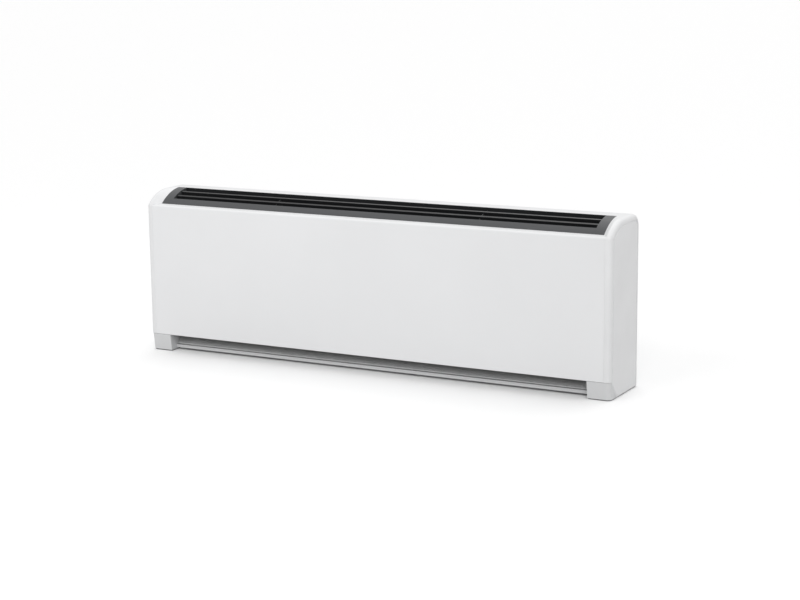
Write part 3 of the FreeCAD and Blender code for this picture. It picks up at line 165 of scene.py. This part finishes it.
RUBBER_BLACK, RUBBER_ROUGH, DULL_SHEEN = (0.02, 0.02, 0.022), 0.8, 0.15
# Painted shade: the seal is a dark strip set into the gap between toe and panel, to darken the
# seam's shadow line.
SHADE_SEAL_LOW, SHADE_SEAL_HIGH = 0.05605, 0.05695
SHADE_SEAL_EDGE = [(0.7406, -0.1113), (0.7995, -0.1113), (0.8026, -0.1109), (0.8054, -0.1099),
             (0.8077, -0.1084), (0.8097, -0.1065), (0.8112, -0.1043), (0.8123, -0.1019),
             (0.8129, -0.0992), (0.7406, -0.0992)]
PAD_LOW, PAD_HIGH = 0.0001, 0.0029
PAD_EDGE = [(0.7425, -0.102), (0.7995, -0.102), (0.8038, -0.1012), (0.8075, -0.0988),
            (0.81, -0.0952), (0.811, -0.0905), (0.811, 0.097), (0.8085, 0.1035), (0.804, 0.1085),
            (0.798, 0.11), (0.779, 0.11), (0.779, -0.0545), (0.7425, -0.0545)]
seal_rubber = moulded("seal_rubber", RUBBER_BLACK, RUBBER_ROUGH)
shader_of(seal_rubber).inputs["Specular IOR Level"].default_value = DULL_SHEEN


def rubber(name, edge, low, high, side):
    """A flat rubber piece at one end of the casing, between two heights."""
    mirrored = [(side * along, deep) for along, deep in edge][::side]
    rings = [[Vector((*spot, height)) for spot in mirrored] for height in (low, high)]
    piece = skin(name, rings)
    piece.data.materials.append(seal_rubber)
    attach(piece, "casing")


for end, side in (("left", -1), ("right", 1)):
    # The seal is a painted shade strip in the toe's gap; the pad is a real rubber pad.
    rubber(f"{end}_foot_shade_seal", SHADE_SEAL_EDGE, SHADE_SEAL_LOW, SHADE_SEAL_HIGH, side)
    rubber(f"{end}_floor_pad", PAD_EDGE, PAD_LOW, PAD_HIGH, side)


# Base pan: folded steel sheet in a light grey powder coat, which flows out in the oven to a satin
# skin with a slight orange peel. It lies on the ledges of the feet. Its lip shows under the intake
# and is folded back and down, so that no raw edge is in the way of the hand.
PAN_GREY = (0.62, 0.625, 0.63)
COAT_ROUGH, COAT_DRIFT = 0.42, 0.04
COAT_DARK, COAT_LIGHT = 0.985, 1.01
PEEL_MARKS, PEEL_DEPTH = 380, 0.00002


def powder_coat(name, colour):
    """Baked powder coat: a shallow orange peel and a satin gloss that drifts a little."""
    material = finish(name, colour, COAT_ROUGH)
    clouds = blotches(material, per_metre=3, detail=2)
    shade(material, clouds, tint(colour, COAT_DARK), tint(colour, COAT_LIGHT))
    drift = blotches(material, per_metre=18, detail=3)
    polish(material, drift, COAT_ROUGH - COAT_DRIFT, COAT_ROUGH + COAT_DRIFT)
    relief(material, blotches(material, PEEL_MARKS, detail=1), PEEL_DEPTH)
    return material


def long_piece(name, section, half):
    """A bar of one cross-section, given as depth and height, with its middle at the casing's."""
    return skin(name, [[Vector((along, *spot)) for spot in section] for along in (-half, half)])


grey_coat = powder_coat("grey_coat", PAN_GREY)
dress(grey_coat, "base_pan")

RETURN_DEEP, RETURN_DROP, RETURN_HALF = 0.015, 0.0045, 0.737
PAN_SHEET, PAN_FOLD, RETURN_INSET = 0.001, 0.0008, 0.0009
pan_low, pan_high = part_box("base_pan")
return_top, return_under = pan_high.z, pan_high.z - PAN_SHEET
return_front = pan_low.y + RETURN_INSET
return_back = return_front + RETURN_DEEP
return_inside = return_back - PAN_SHEET
lip_return = long_piece("pan_lip_return", [
    (return_front, return_under), (return_inside - PAN_FOLD / 2, return_under),
    (return_inside, return_under - PAN_FOLD / 2), (return_inside, return_top - RETURN_DROP),
    (return_back, return_top - RETURN_DROP), (return_back, return_top - PAN_FOLD),
    (return_back - PAN_FOLD, return_top), (return_front, return_top)], RETURN_HALF)
lip_return.data.materials.append(grey_coat)
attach(lip_return, "casing")


# Chassis and back: folded from hot-dip zinc-coated sheet. The coating has a pale crystal spangle,
# each crystal a little brighter or duller than the next, under a thin dull film. Hex screws with a
# washer face hold the back along its top and bottom edges.
ZINC, ZINC_METAL = (0.62, 0.635, 0.65), 0.85
ZINC_ROUGH, ZINC_DRIFT = 0.42, 0.06
ZINC_DARK, ZINC_LIGHT = 0.93, 1.04
FILM_MARKS, FILM_DEPTH = 700, 0.000008
SHEET_CRYSTALS, SCREW_CRYSTALS = 120, 900


def spangled(name, colour, crystals):
    """Zinc-coated sheet with so many crystals in a metre."""
    material = finish(name, colour, ZINC_ROUGH, ZINC_METAL)
    nodes, links = material.node_tree.nodes, material.node_tree.links
    place = nodes.new("ShaderNodeTexCoord")
    cells = nodes.new("ShaderNodeTexVoronoi")
    cells.inputs["Scale"].default_value = crystals
    grey = nodes.new("ShaderNodeRGBToBW")
    links.new(place.outputs["Object"], cells.inputs["Vector"])
    links.new(cells.outputs["Color"], grey.inputs["Color"])
    spangle = grey.outputs["Val"]
    shade(material, spangle, tint(colour, ZINC_DARK), tint(colour, ZINC_LIGHT))
    polish(material, spangle, ZINC_ROUGH - ZINC_DRIFT, ZINC_ROUGH + ZINC_DRIFT)
    relief(material, blotches(material, FILM_MARKS, detail=2), FILM_DEPTH)
    return material


zinc_sheet = spangled("zinc_sheet", ZINC, SHEET_CRYSTALS)
dress(zinc_sheet, "rear_panel", "left_chassis_plate", "right_chassis_plate", "fan_deck",
      "coil_baffle", "left_tube_sheet", "right_tube_sheet", "motor_cradle",
      "left_bearing_bracket", "right_bearing_bracket")

SCREW_ACROSS, SCREW_WASHER, SCREW_POINTS, SCREW_SHADE = 0.0072, 0.0052, 24, 0.9
SCREW_COLUMNS, SCREW_ROWS = 9, 2
SCREW_END, SCREW_LOW, SCREW_HIGH = 0.752, 0.0135, 0.4625
SCREW_RINGS = [(-0.0001, None), (0.0007, None), (0.0009, 0.94), (0.0009, 1.0), (0.0028, 1.0),
               (0.0034, 0.84)]
SIXTH_TURN = math.tau / 6
back_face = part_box("rear_panel")[1].y


def repeat(piece, count, step):
    """Repeat a piece along a step."""
    array = piece.modifiers.new("row", "ARRAY")
    array.use_relative_offset = False
    array.use_constant_offset = True
    array.constant_offset_displace = step
    array.count = count


def smooth(piece, angle):
    """Shade a piece smooth, apart from edges sharper than an angle in degrees."""
    piece.data.shade_smooth()
    piece.data.set_sharp_from_angle(angle=math.radians(angle))


def screw_ring(out, share):
    """A ring of the first screw, so far out of the back: a share of its head, or the washer."""
    ring = []
    for step in range(SCREW_POINTS):
        turn = math.tau * step / SCREW_POINTS
        off_flat = (turn + SIXTH_TURN / 2) % SIXTH_TURN - SIXTH_TURN / 2
        head = SCREW_ACROSS / 2 / math.cos(off_flat)
        reach = SCREW_WASHER if share is None else share * head
        ring.append(Vector((-SCREW_END - reach * math.cos(turn), back_face + out,
                            SCREW_LOW + reach * math.sin(turn))))
    return ring


screws = skin("back_screws", [screw_ring(out, share) for out, share in SCREW_RINGS])
smooth(screws, angle=40)
repeat(screws, SCREW_COLUMNS, (2 * SCREW_END / (SCREW_COLUMNS - 1), 0, 0))
repeat(screws, SCREW_ROWS, (0, 0, SCREW_HIGH - SCREW_LOW))
screws.data.materials.append(spangled("screw_zinc", tint(ZINC, SCREW_SHADE), SCREW_CRYSTALS))
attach(screws, "casing")


# Filter: a black moulded frame that slides forward in two guides, with an extruded polypropylene
# net welded into it. The net is two layers of round strands, laid across each other. A coated wire
# net leans across the intake in front of it. Its colour is painted darker towards its upper part, a
# painted shade for the shadow that the front panel's overhang casts into the intake.
BLACK, BLACK_ROUGH = (0.035, 0.035, 0.038), 0.48
NET_BLACK, NET_ROUGH = (0.05, 0.05, 0.053), 0.4
STRAND_PITCH, STRAND_RADIUS, STRAND_LAP = 0.003, 0.00042, 0.00012
STRAND_SIDES, HEM_SIDES = 6, 12
black_plastic = moulded("black_plastic", BLACK, BLACK_ROUGH)
dress(black_plastic, "filter_frame", "left_filter_guide", "right_filter_guide")


def circle(centre, first, second, radius, count):
    """Points of a ring about a centre, in the plane of two unit directions."""
    turns = [math.tau * step / count for step in range(count)]
    return [centre + first * (radius * math.cos(turn)) + second * (radius * math.sin(turn))
            for turn in turns]


def rod(name, start, end, radius, count):
    """A round rod between two points."""
    run = (end - start).normalized()
    first = run.orthogonal().normalized()
    second = run.cross(first)
    piece = skin(name, [circle(point, first, second, radius, count) for point in (start, end)])
    smooth(piece, angle=70)
    return piece


def on_filter(piece, material):
    """Give a piece its finish and let it ride on the filter."""
    piece.data.materials.append(material)
    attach(piece, "air_filter")


def strands(name, start, end, step, count):
    """One layer of the filter's net: a strand, repeated."""
    layer = rod(name, start, end, STRAND_RADIUS, STRAND_SIDES)
    repeat(layer, count, step)
    on_filter(layer, net_plastic)
    return layer


net_plastic = moulded("net_plastic", NET_BLACK, NET_ROUGH)
net_low, net_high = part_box("filter_mesh")
net_middle = (net_low.z + net_high.z) / 2
strand_lift = STRAND_RADIUS - STRAND_LAP
long_height, cross_height = net_middle - strand_lift, net_middle + strand_lift
long_count = int((net_high.y - net_low.y - STRAND_PITCH) / STRAND_PITCH)
cross_count = int((net_high.x - net_low.x - STRAND_PITCH) / STRAND_PITCH)
first_y = (net_low.y + net_high.y - (long_count - 1) * STRAND_PITCH) / 2
first_x = (net_low.x + net_high.x - (cross_count - 1) * STRAND_PITCH) / 2
long_strands = strands("filter_net_long", Vector((net_low.x, first_y, long_height)),
                       Vector((net_high.x, first_y, long_height)), (0, STRAND_PITCH, 0), long_count)
strands("filter_net_cross", Vector((first_x, net_low.y, cross_height)),
        Vector((first_x, net_high.y, cross_height)), (STRAND_PITCH, 0, 0), cross_count)
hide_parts("filter_mesh")

WIRE_PITCH, WIRE_RADIUS, WIRE_LAP = 0.0028, 0.0006, 0.0001
# Painted shade: the net's colour runs from light grey at its foot to near black at its top, for the
# shadow under the panel's overhang.
WIRE_GREY, WIRE_PAINTED_SHADE = (0.86, 0.865, 0.87), (0.16, 0.158, 0.155)
WIRE_ROUGH, WIRE_GLOSSY, WIRE_DULL = 0.45, 0.4, 0.6
WIRE_GRAIN, WIRE_GRAIN_DEPTH = 900, 0.00002
SCREEN_LEAN, SCREEN_SHEET = Vector((0, 0.0165, 0.032)), 0.0012
screen_low, screen_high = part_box("intake_screen")


def climb(material, low, high):
    """A pattern that runs evenly over the ramp of a shade, from a low height to a high one."""
    nodes, links = material.node_tree.nodes, material.node_tree.links
    place = nodes.new("ShaderNodeTexCoord")
    axes = nodes.new("ShaderNodeSeparateXYZ")
    span = nodes.new("ShaderNodeMapRange")
    span.inputs["From Min"].default_value = low
    span.inputs["From Max"].default_value = high
    span.inputs["To Min"].default_value = RAMP_LOW
    span.inputs["To Max"].default_value = RAMP_HIGH
    links.new(place.outputs["Object"], axes.inputs["Vector"])
    links.new(axes.outputs["Z"], span.inputs["Value"])
    return span.outputs["Result"]


wire_coat = finish("wire_coat", WIRE_GREY, WIRE_ROUGH)
# Painted shade, darker towards the top of the net.
shade(wire_coat, climb(wire_coat, screen_low.z, screen_high.z), WIRE_GREY, WIRE_PAINTED_SHADE)
polish(wire_coat, blotches(wire_coat, per_metre=60, detail=3), WIRE_GLOSSY, WIRE_DULL)
relief(wire_coat, blotches(wire_coat, WIRE_GRAIN, detail=1), WIRE_GRAIN_DEPTH)

screen_foot = Vector((screen_low.x, screen_low.y + SCREEN_SHEET / 2, screen_low.z))
screen_run = Vector((screen_high.x - screen_low.x, 0, 0))
screen_up = SCREEN_LEAN.normalized()
wire_lift = screen_up.cross(Vector((1, 0, 0))) * (WIRE_RADIUS - WIRE_LAP)
row_count = int((SCREEN_LEAN.length - SCREEN_SHEET) / WIRE_PITCH)
post_count = int(screen_run.x / WIRE_PITCH)

hem_start = screen_foot + screen_up * SCREEN_SHEET
hem_end = hem_start + screen_run
wire_rows = rod("screen_wire_rows", hem_start + wire_lift, hem_end + wire_lift, WIRE_RADIUS,
                STRAND_SIDES)
repeat(wire_rows, row_count, screen_up * WIRE_PITCH)
post_margin = (screen_run.x - (post_count - 1) * WIRE_PITCH) / 2
first_post = screen_foot + Vector((post_margin, 0, 0)) - wire_lift
wire_posts = rod("screen_wire_posts", first_post, first_post + SCREEN_LEAN, WIRE_RADIUS,
                 STRAND_SIDES)
repeat(wire_posts, post_count, (WIRE_PITCH, 0, 0))
hem = rod("screen_hem", hem_start, hem_end, SCREEN_SHEET, HEM_SIDES)
fold_front = screen_foot.y + SCREEN_LEAN.y - SCREEN_SHEET / 2
fold_under = screen_high.z - SCREEN_SHEET
fold = long_piece("screen_fold", [
    (fold_front, fold_under), (screen_high.y, fold_under),
    (screen_high.y, screen_high.z), (fold_front, screen_high.z)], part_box("filter_frame")[1].x)
for wire_piece in (wire_rows, wire_posts, hem, fold):
    on_filter(wire_piece, wire_coat)
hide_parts("intake_screen")


# Fans: scroll housings and forward-curved wheels moulded in dark antistatic plastic. The housings
# hang under the deck, and the wheels are set on one shaft.
FAN_GREY, FAN_ROUGH = (0.1, 0.103, 0.11), 0.46
fan_plastic = moulded("fan_plastic", FAN_GREY, FAN_ROUGH)
for place in ("outer_left", "inner_left", "inner_right", "outer_right"):
    dress(fan_plastic, f"{place}_fan_housing", f"{place}_fan_wheel")


# Shaft and motor: a ground steel shaft, a motor in enamelled cast shells on rubber rings, and
# oil-filled sintered bronze bearings at the ends.
STEEL, BRONZE = (0.56, 0.57, 0.58), (0.5, 0.35, 0.19)
ENAMEL_GREY, ENAMEL_ROUGH = (0.2, 0.208, 0.215), 0.4
ENAMEL_GRAIN, ENAMEL_DEPTH = 420, 0.00004
TOOL_MARKS, TOOL_LINES, TOOL_DEPTH = 260, 900, 0.000004


def metal(name, colour, low, high, film, worked=(1, 1, 1)):
    """Bare metal, its roughness from low to high, with a film that darkens it to a share.

    Its fine marks are drawn out the way that it was worked.
    """
    material = finish(name, colour, (low + high) / 2, 1.0)
    shade(material, blotches(material, per_metre=30, detail=4), tint(colour, film), colour)
    polish(material, blotches(material, TOOL_MARKS, detail=3, stretch=worked), low, high)
    relief(material, blotches(material, TOOL_LINES, detail=1, stretch=worked), TOOL_DEPTH)
    return material


ground_steel = metal("ground_steel", STEEL, low=0.2, high=0.34, film=0.88, worked=(6, 1, 1))
dress(ground_steel, "fan_shaft")
sintered_bronze = metal("sintered_bronze", BRONZE, low=0.45, high=0.62, film=0.8)
dress(sintered_bronze, "left_bearing", "right_bearing")
motor_enamel = moulded("motor_enamel", ENAMEL_GREY, ENAMEL_ROUGH, ENAMEL_GRAIN, ENAMEL_DEPTH)
dress(motor_enamel, "fan_motor")
dress(seal_rubber, "left_motor_ring", "right_motor_ring")


# Drain pan and side tray: vacuum-formed and moulded black plastic that catch the coil's condensate
# and lead it to the spout behind the pipe opening.
dress(black_plastic, "drain_pan", "side_drain_tray")


# Coil: thin rippled aluminium fins pressed on copper hairpins, with copper headers brazed to the
# tube ends, brass unions at the wall and a brass air vent.
COIL_TILT = math.radians(35)
COIL_FOOT = Vector((0, -0.0745, 0.292))
COIL_THICK, COIL_TALL, COIL_HALF = 0.044, 0.175, 0.698
COIL_BACK = Vector((0, math.cos(COIL_TILT), -math.sin(COIL_TILT)))
COIL_UP = Vector((0, math.sin(COIL_TILT), math.cos(COIL_TILT)))
FIN_PITCH, FIN_FOLDS, FIN_RIPPLE, FIN_SHEET = 0.0021, 8, 0.00045, 0.00013
ALUMINIUM, COPPER, BRASS = (0.76, 0.77, 0.78), (0.72, 0.35, 0.2), (0.68, 0.5, 0.22)


def sheet_of(name, rows):
    """An open sheet through rows of points, which all have the same number of points."""
    width = len(rows[0])
    faces = []
    for row in range(len(rows) - 1):
        for step in range(width - 1):
            low = row * width + step
            faces.append((low, low + 1, low + width + 1, low + width))
    return made_of(name, [point for row in rows for point in row], faces)


def thicken(piece, thickness):
    """Give an open sheet its thickness, evenly on both sides."""
    wall = piece.modifiers.new("thickness", "SOLIDIFY")
    wall.thickness = thickness
    wall.offset = 0


fin_count = int((2 * COIL_HALF - 2 * FIN_RIPPLE) / FIN_PITCH)
fin_start = -(fin_count - 1) * FIN_PITCH / 2
fin_edge = []
for crease in range(FIN_FOLDS + 1):
    ripple = Vector((fin_start + FIN_RIPPLE * (crease % 2 - 0.5), 0, 0))
    fin_edge.append(COIL_FOOT + COIL_BACK * (COIL_THICK * crease / FIN_FOLDS) + ripple)
fin_top = [point + COIL_UP * COIL_TALL for point in fin_edge]
fins = sheet_of("coil_fin_stack", [fin_edge, fin_top])
thicken(fins, FIN_SHEET)
repeat(fins, fin_count, (FIN_PITCH, 0, 0))
fins.data.materials.append(metal("fin_aluminium", ALUMINIUM, low=0.24, high=0.38, film=0.9))
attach(fins, "casing")
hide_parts("coil_fins")

drawn_copper = metal("drawn_copper", COPPER, low=0.22, high=0.42, film=0.62, worked=(1, 4, 4))
dress(drawn_copper, "coil_hairpins", "return_header", "supply_header")
turned_brass = metal("turned_brass", BRASS, low=0.2, high=0.36, film=0.8, worked=(1, 6, 1))
dress(turned_brass, "return_union", "supply_union", "air_vent_body", "air_vent_screw")


# Electrical side: a black moulded terminal box with a lid, a white terminal block in it, a cable
# gland under it and the motor's run capacitor above.
BLOCK_WHITE, BLOCK_ROUGH = (0.7, 0.7, 0.69), 0.4
CAN_WHITE, CAN_ROUGH = (0.66, 0.66, 0.64), 0.32
dress(black_plastic, "terminal_box", "terminal_box_lid", "cable_gland")
dress(moulded("block_plastic", BLOCK_WHITE, BLOCK_ROUGH), "terminal_block")
dress(moulded("capacitor_can", CAN_WHITE, CAN_ROUGH), "run_capacitor")


# Top panel and front panel: folded steel sheet under a white polyester powder coat, with the same
# slight orange peel as the base pan.
WHITE_COAT = (0.79, 0.794, 0.802)
dress(powder_coat("white_coat", WHITE_COAT), "top_panel", "front_panel")


# Foam lining: a sheet of closed-cell foam glued to the back of the front panel, which keeps it from
# drumming and from sweating. Its cut edges are round and its skin is a little uneven.
FOAM_GREY, FOAM_DARK, FOAM_LIGHT = (0.07, 0.07, 0.073), (0.055, 0.055, 0.058), (0.08, 0.08, 0.084)
FOAM_ROUGH, FOAM_CELLS, CELL_DEPTH = 0.9, 900, 0.00012
FOAM_STEPS_X, FOAM_STEPS_Z = 90, 24
FOAM_WAVE = 0.00035
WAVES_LONG, WAVES_RISE, WAVES_UP, WAVES_SLANT = 37, 11, 29, 5
foam = finish("foam", FOAM_GREY, FOAM_ROUGH)
shade(foam, blotches(foam, per_metre=24, detail=4), FOAM_DARK, FOAM_LIGHT)
relief(foam, blotches(foam, FOAM_CELLS, detail=2), CELL_DEPTH)
foam_low, foam_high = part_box("panel_insulation")
foam_size = foam_high - foam_low
foam_middle = (foam_low.y + foam_high.y) / 2
foam_rows = []
for step_z in range(FOAM_STEPS_Z + 1):
    height = foam_low.z + foam_size.z * step_z / FOAM_STEPS_Z
    row = []
    for step_x in range(FOAM_STEPS_X + 1):
        along = foam_low.x + foam_size.x * step_x / FOAM_STEPS_X
        wave = (FOAM_WAVE * math.sin(WAVES_LONG * along + WAVES_RISE * height)
                * math.sin(WAVES_UP * height - WAVES_SLANT * along))
        row.append(Vector((along, foam_middle + wave, height)))
    foam_rows.append(row)
lining = sheet_of("foam_lining", foam_rows)
thicken(lining, foam_size.y - 2 * FOAM_WAVE)
edge_round = lining.modifiers.new("cut_edge", "BEVEL")
edge_round.width = foam_size.y / 4
edge_round.segments = 3
edge_round.angle_limit = math.radians(60)
smooth(lining, angle=60)
lining.data.materials.append(foam)
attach(lining, "casing")
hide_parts("panel_insulation")


# Outlet grille: a dark grey moulded strip and end pieces, with two leaning blades and two ribs
# snapped between them on one arc. The plastic is satin with a fine even grain. The blades and the
# ribs are a darker copy of it and the wall behind them a darker, dull one, both a painted shade
# for the dark inside the slots.
GRILLE_GREY, GRILLE_ROUGH = (0.066, 0.068, 0.071), 0.42
# Painted shade: the blades, ribs and the wall behind them are the grille's plastic made darker, for
# the dark inside the slots.
SHADED_BLADE_GREY, BLADE_ROUGH = (0.016, 0.0165, 0.018), 0.33
SHADED_GUIDE_GREY, GUIDE_ROUGH = tint(SHADED_BLADE_GREY, 0.8), 0.8
grille_plastic = moulded("grille_plastic", GRILLE_GREY, GRILLE_ROUGH)
dress(grille_plastic, "grille_front_strip", "grille_left_end", "grille_right_end")
shaded_blade_plastic = moulded("shaded_blade_plastic", SHADED_BLADE_GREY, BLADE_ROUGH)
dress(shaded_blade_plastic, "grille_front_blade", "grille_rear_blade", "grille_left_rib",
      "grille_right_rib")
shaded_guide_plastic = moulded("shaded_guide_plastic", SHADED_GUIDE_GREY, GUIDE_ROUGH)
shader_of(shaded_guide_plastic).inputs["Specular IOR Level"].default_value = DULL_SHEEN
dress(shaded_guide_plastic, "outlet_guide")


# End caps: white moulded ends with a soft rim round an inset side plate, which leaves a narrow
# groove. They close the casing and hold the panels between them.
WHITE_PLASTIC, CAP_ROUGH, CAP_INSET = (0.775, 0.778, 0.785), 0.46, 0.0015
PLATE_GROOVE, PLATE_THICK, PLATE_ROUND, PLATE_SUNK = 0.0035, 0.0013, 0.0005, 0.0002
PLATE_SOFT = PLATE_ROUND * 0.3
PLATE_LEVELS = [(-PLATE_SUNK, 0), (PLATE_THICK - PLATE_ROUND, 0),
                (PLATE_THICK - PLATE_SOFT, PLATE_SOFT), (PLATE_THICK, PLATE_ROUND)]
ON_FACE = 0.0001
white_plastic = moulded("white_plastic", WHITE_PLASTIC, CAP_ROUGH)
dress(white_plastic, "left_end_cap", "right_end_cap")


def inset_edge(cap, face):
    """The edge of a cap's inset side face in order, as depth and height, read from its mesh."""
    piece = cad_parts[cap]
    spots = [piece.matrix_world @ corner.co for corner in piece.data.vertices]
    uses = {}
    for polygon in piece.data.polygons:
        corners = [spots[index] for index in polygon.vertices]
        if all(abs(corner.x - face) < ON_FACE for corner in corners):
            flat = [(round(corner.y, 6), round(corner.z, 6)) for corner in corners]
            for start, end in zip(flat, flat[1:] + flat[:1]):
                uses.setdefault(frozenset((start, end)), []).append((start, end))
    after = dict(pair[0] for pair in uses.values() if len(pair) == 1)
    edge = [min(after)]
    while after[edge[-1]] != edge[0]:
        edge.append(after[edge[-1]])
    return edge


def drawn_in(edge, gap):
    """An edge drawn in by a gap all round."""
    points = [Vector(spot) for spot in edge]
    middle = sum(points, Vector((0, 0))) / len(points)
    inner = []
    for before, point, after in zip(points[-1:] + points[:-1], points, points[1:] + points[:1]):
        run = (after - before).normalized()
        inward = Vector((-run.y, run.x))
        inner.append(point + inward * (gap if inward.dot(middle - point) > 0 else -gap))
    return inner


for end, side in (("left", -1), ("right", 1)):
    cap_low, cap_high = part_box(f"{end}_end_cap")
    cap_face = (cap_high.x if side > 0 else cap_low.x) - side * CAP_INSET
    outline = drawn_in(inset_edge(f"{end}_end_cap", cap_face), PLATE_GROOVE)
    rings = [[Vector((cap_face + side * out, *spot)) for spot in drawn_in(outline, gap)]
             for out, gap in PLATE_LEVELS]
    plate = skin(f"{end}_side_plate", rings)
    smooth(plate, angle=20)
    plate.data.materials.append(white_plastic)
    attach(plate, "casing")


# Studio: a plain white floor that runs out of sight, an even pale room, a broad soft lamp overhead
# and behind, another in front and to the right, and a softbox over the front. The camera is at the
# photograph's place.
FLOOR_HALF, FLOOR_GREY, FLOOR_ROUGH = 80, (0.8, 0.8, 0.8), 0.9
FLOOR_SEEN, FLOOR_BOUNCE = 1.0, 0.6
floor = sheet_of("floor", [[Vector((x, y, 0)) for x in (-FLOOR_HALF, FLOOR_HALF)]
                           for y in (-FLOOR_HALF, FLOOR_HALF)])
white_floor = finish("white_floor", FLOOR_GREY, FLOOR_ROUGH)
floor_nodes, floor_links = white_floor.node_tree.nodes, white_floor.node_tree.links
sight = floor_nodes.new("ShaderNodeLightPath")
seen = sight.outputs["Is Camera Ray"]
for ray in ("Is Glossy Ray", "Is Transmission Ray"):
    either = floor_nodes.new("ShaderNodeMath")
    either.operation = "MAXIMUM"
    floor_links.new(seen, either.inputs[0])
    floor_links.new(sight.outputs[ray], either.inputs[1])
    seen = either.outputs["Value"]
whiteness = floor_nodes.new("ShaderNodeMapRange")
whiteness.inputs["To Min"].default_value = FLOOR_BOUNCE
whiteness.inputs["To Max"].default_value = FLOOR_SEEN
floor_links.new(seen, whiteness.inputs["Value"])
floor_links.new(whiteness.outputs["Result"], shader_of(white_floor).inputs["Base Color"])
floor.data.materials.append(white_floor)

ROOM_LIGHT = 0.68
room = bpy.data.worlds.new("pale_room")
room.use_nodes = True
room.node_tree.nodes["Background"].inputs["Color"].default_value = (1, 1, 1, 1)
room.node_tree.nodes["Background"].inputs["Strength"].default_value = ROOM_LIGHT
bpy.context.scene.world = room


def lamp(name, strength, spread, tilt, turn):
    """A far broad lamp, tilted from overhead towards a compass turn, all three in degrees."""
    light = bpy.data.lights.new(name, "SUN")
    light.energy = strength
    light.angle = math.radians(spread)
    holder = bpy.data.objects.new(name, light)
    holder.rotation_euler = (math.radians(tilt), 0, math.radians(turn))
    bpy.context.scene.collection.objects.link(holder)


lamp("overhead_lamp", strength=0.75, spread=60, tilt=-38, turn=0)
lamp("front_lamp", strength=0.75, spread=35, tilt=57, turn=30)

BOX_WIDE, BOX_TALL, BOX_POWER = 1.8, 1.0, 12
BOX_PLACE, BOX_AIM = Vector((-0.35, -1.85, 1.95)), Vector((0, 0, 0.3))
softbox = bpy.data.lights.new("front_softbox", "AREA")
softbox.shape = "RECTANGLE"
softbox.size, softbox.size_y = BOX_WIDE, BOX_TALL
softbox.energy = BOX_POWER
box_holder = bpy.data.objects.new("front_softbox", softbox)
box_holder.location = BOX_PLACE
box_holder.rotation_euler = (BOX_AIM - BOX_PLACE).to_track_quat("-Z", "Y").to_euler()
bpy.context.scene.collection.objects.link(box_holder)

CAMERA_PLACE = (2.7529, -5.0191, 1.3605)
CAMERA_YAW, CAMERA_PITCH, CAMERA_ROLL = 28.191, 11.314, -0.623
CAMERA_LENS, CAMERA_FAR = 83.29, 500
camera = bpy.data.objects.new("camera", bpy.data.cameras.new("camera"))
camera.data.lens = CAMERA_LENS
camera.data.clip_end = CAMERA_FAR
aim = Euler((math.radians(90 - CAMERA_PITCH), 0, math.radians(CAMERA_YAW)))
camera.matrix_world = (Matrix.Translation(CAMERA_PLACE) @ aim.to_matrix().to_4x4()
                       @ Matrix.Rotation(math.radians(CAMERA_ROLL), 4, "Z"))
bpy.context.scene.collection.objects.link(camera)
bpy.context.scene.camera = camera
bpy.context.scene.view_settings.view_transform = "Standard"
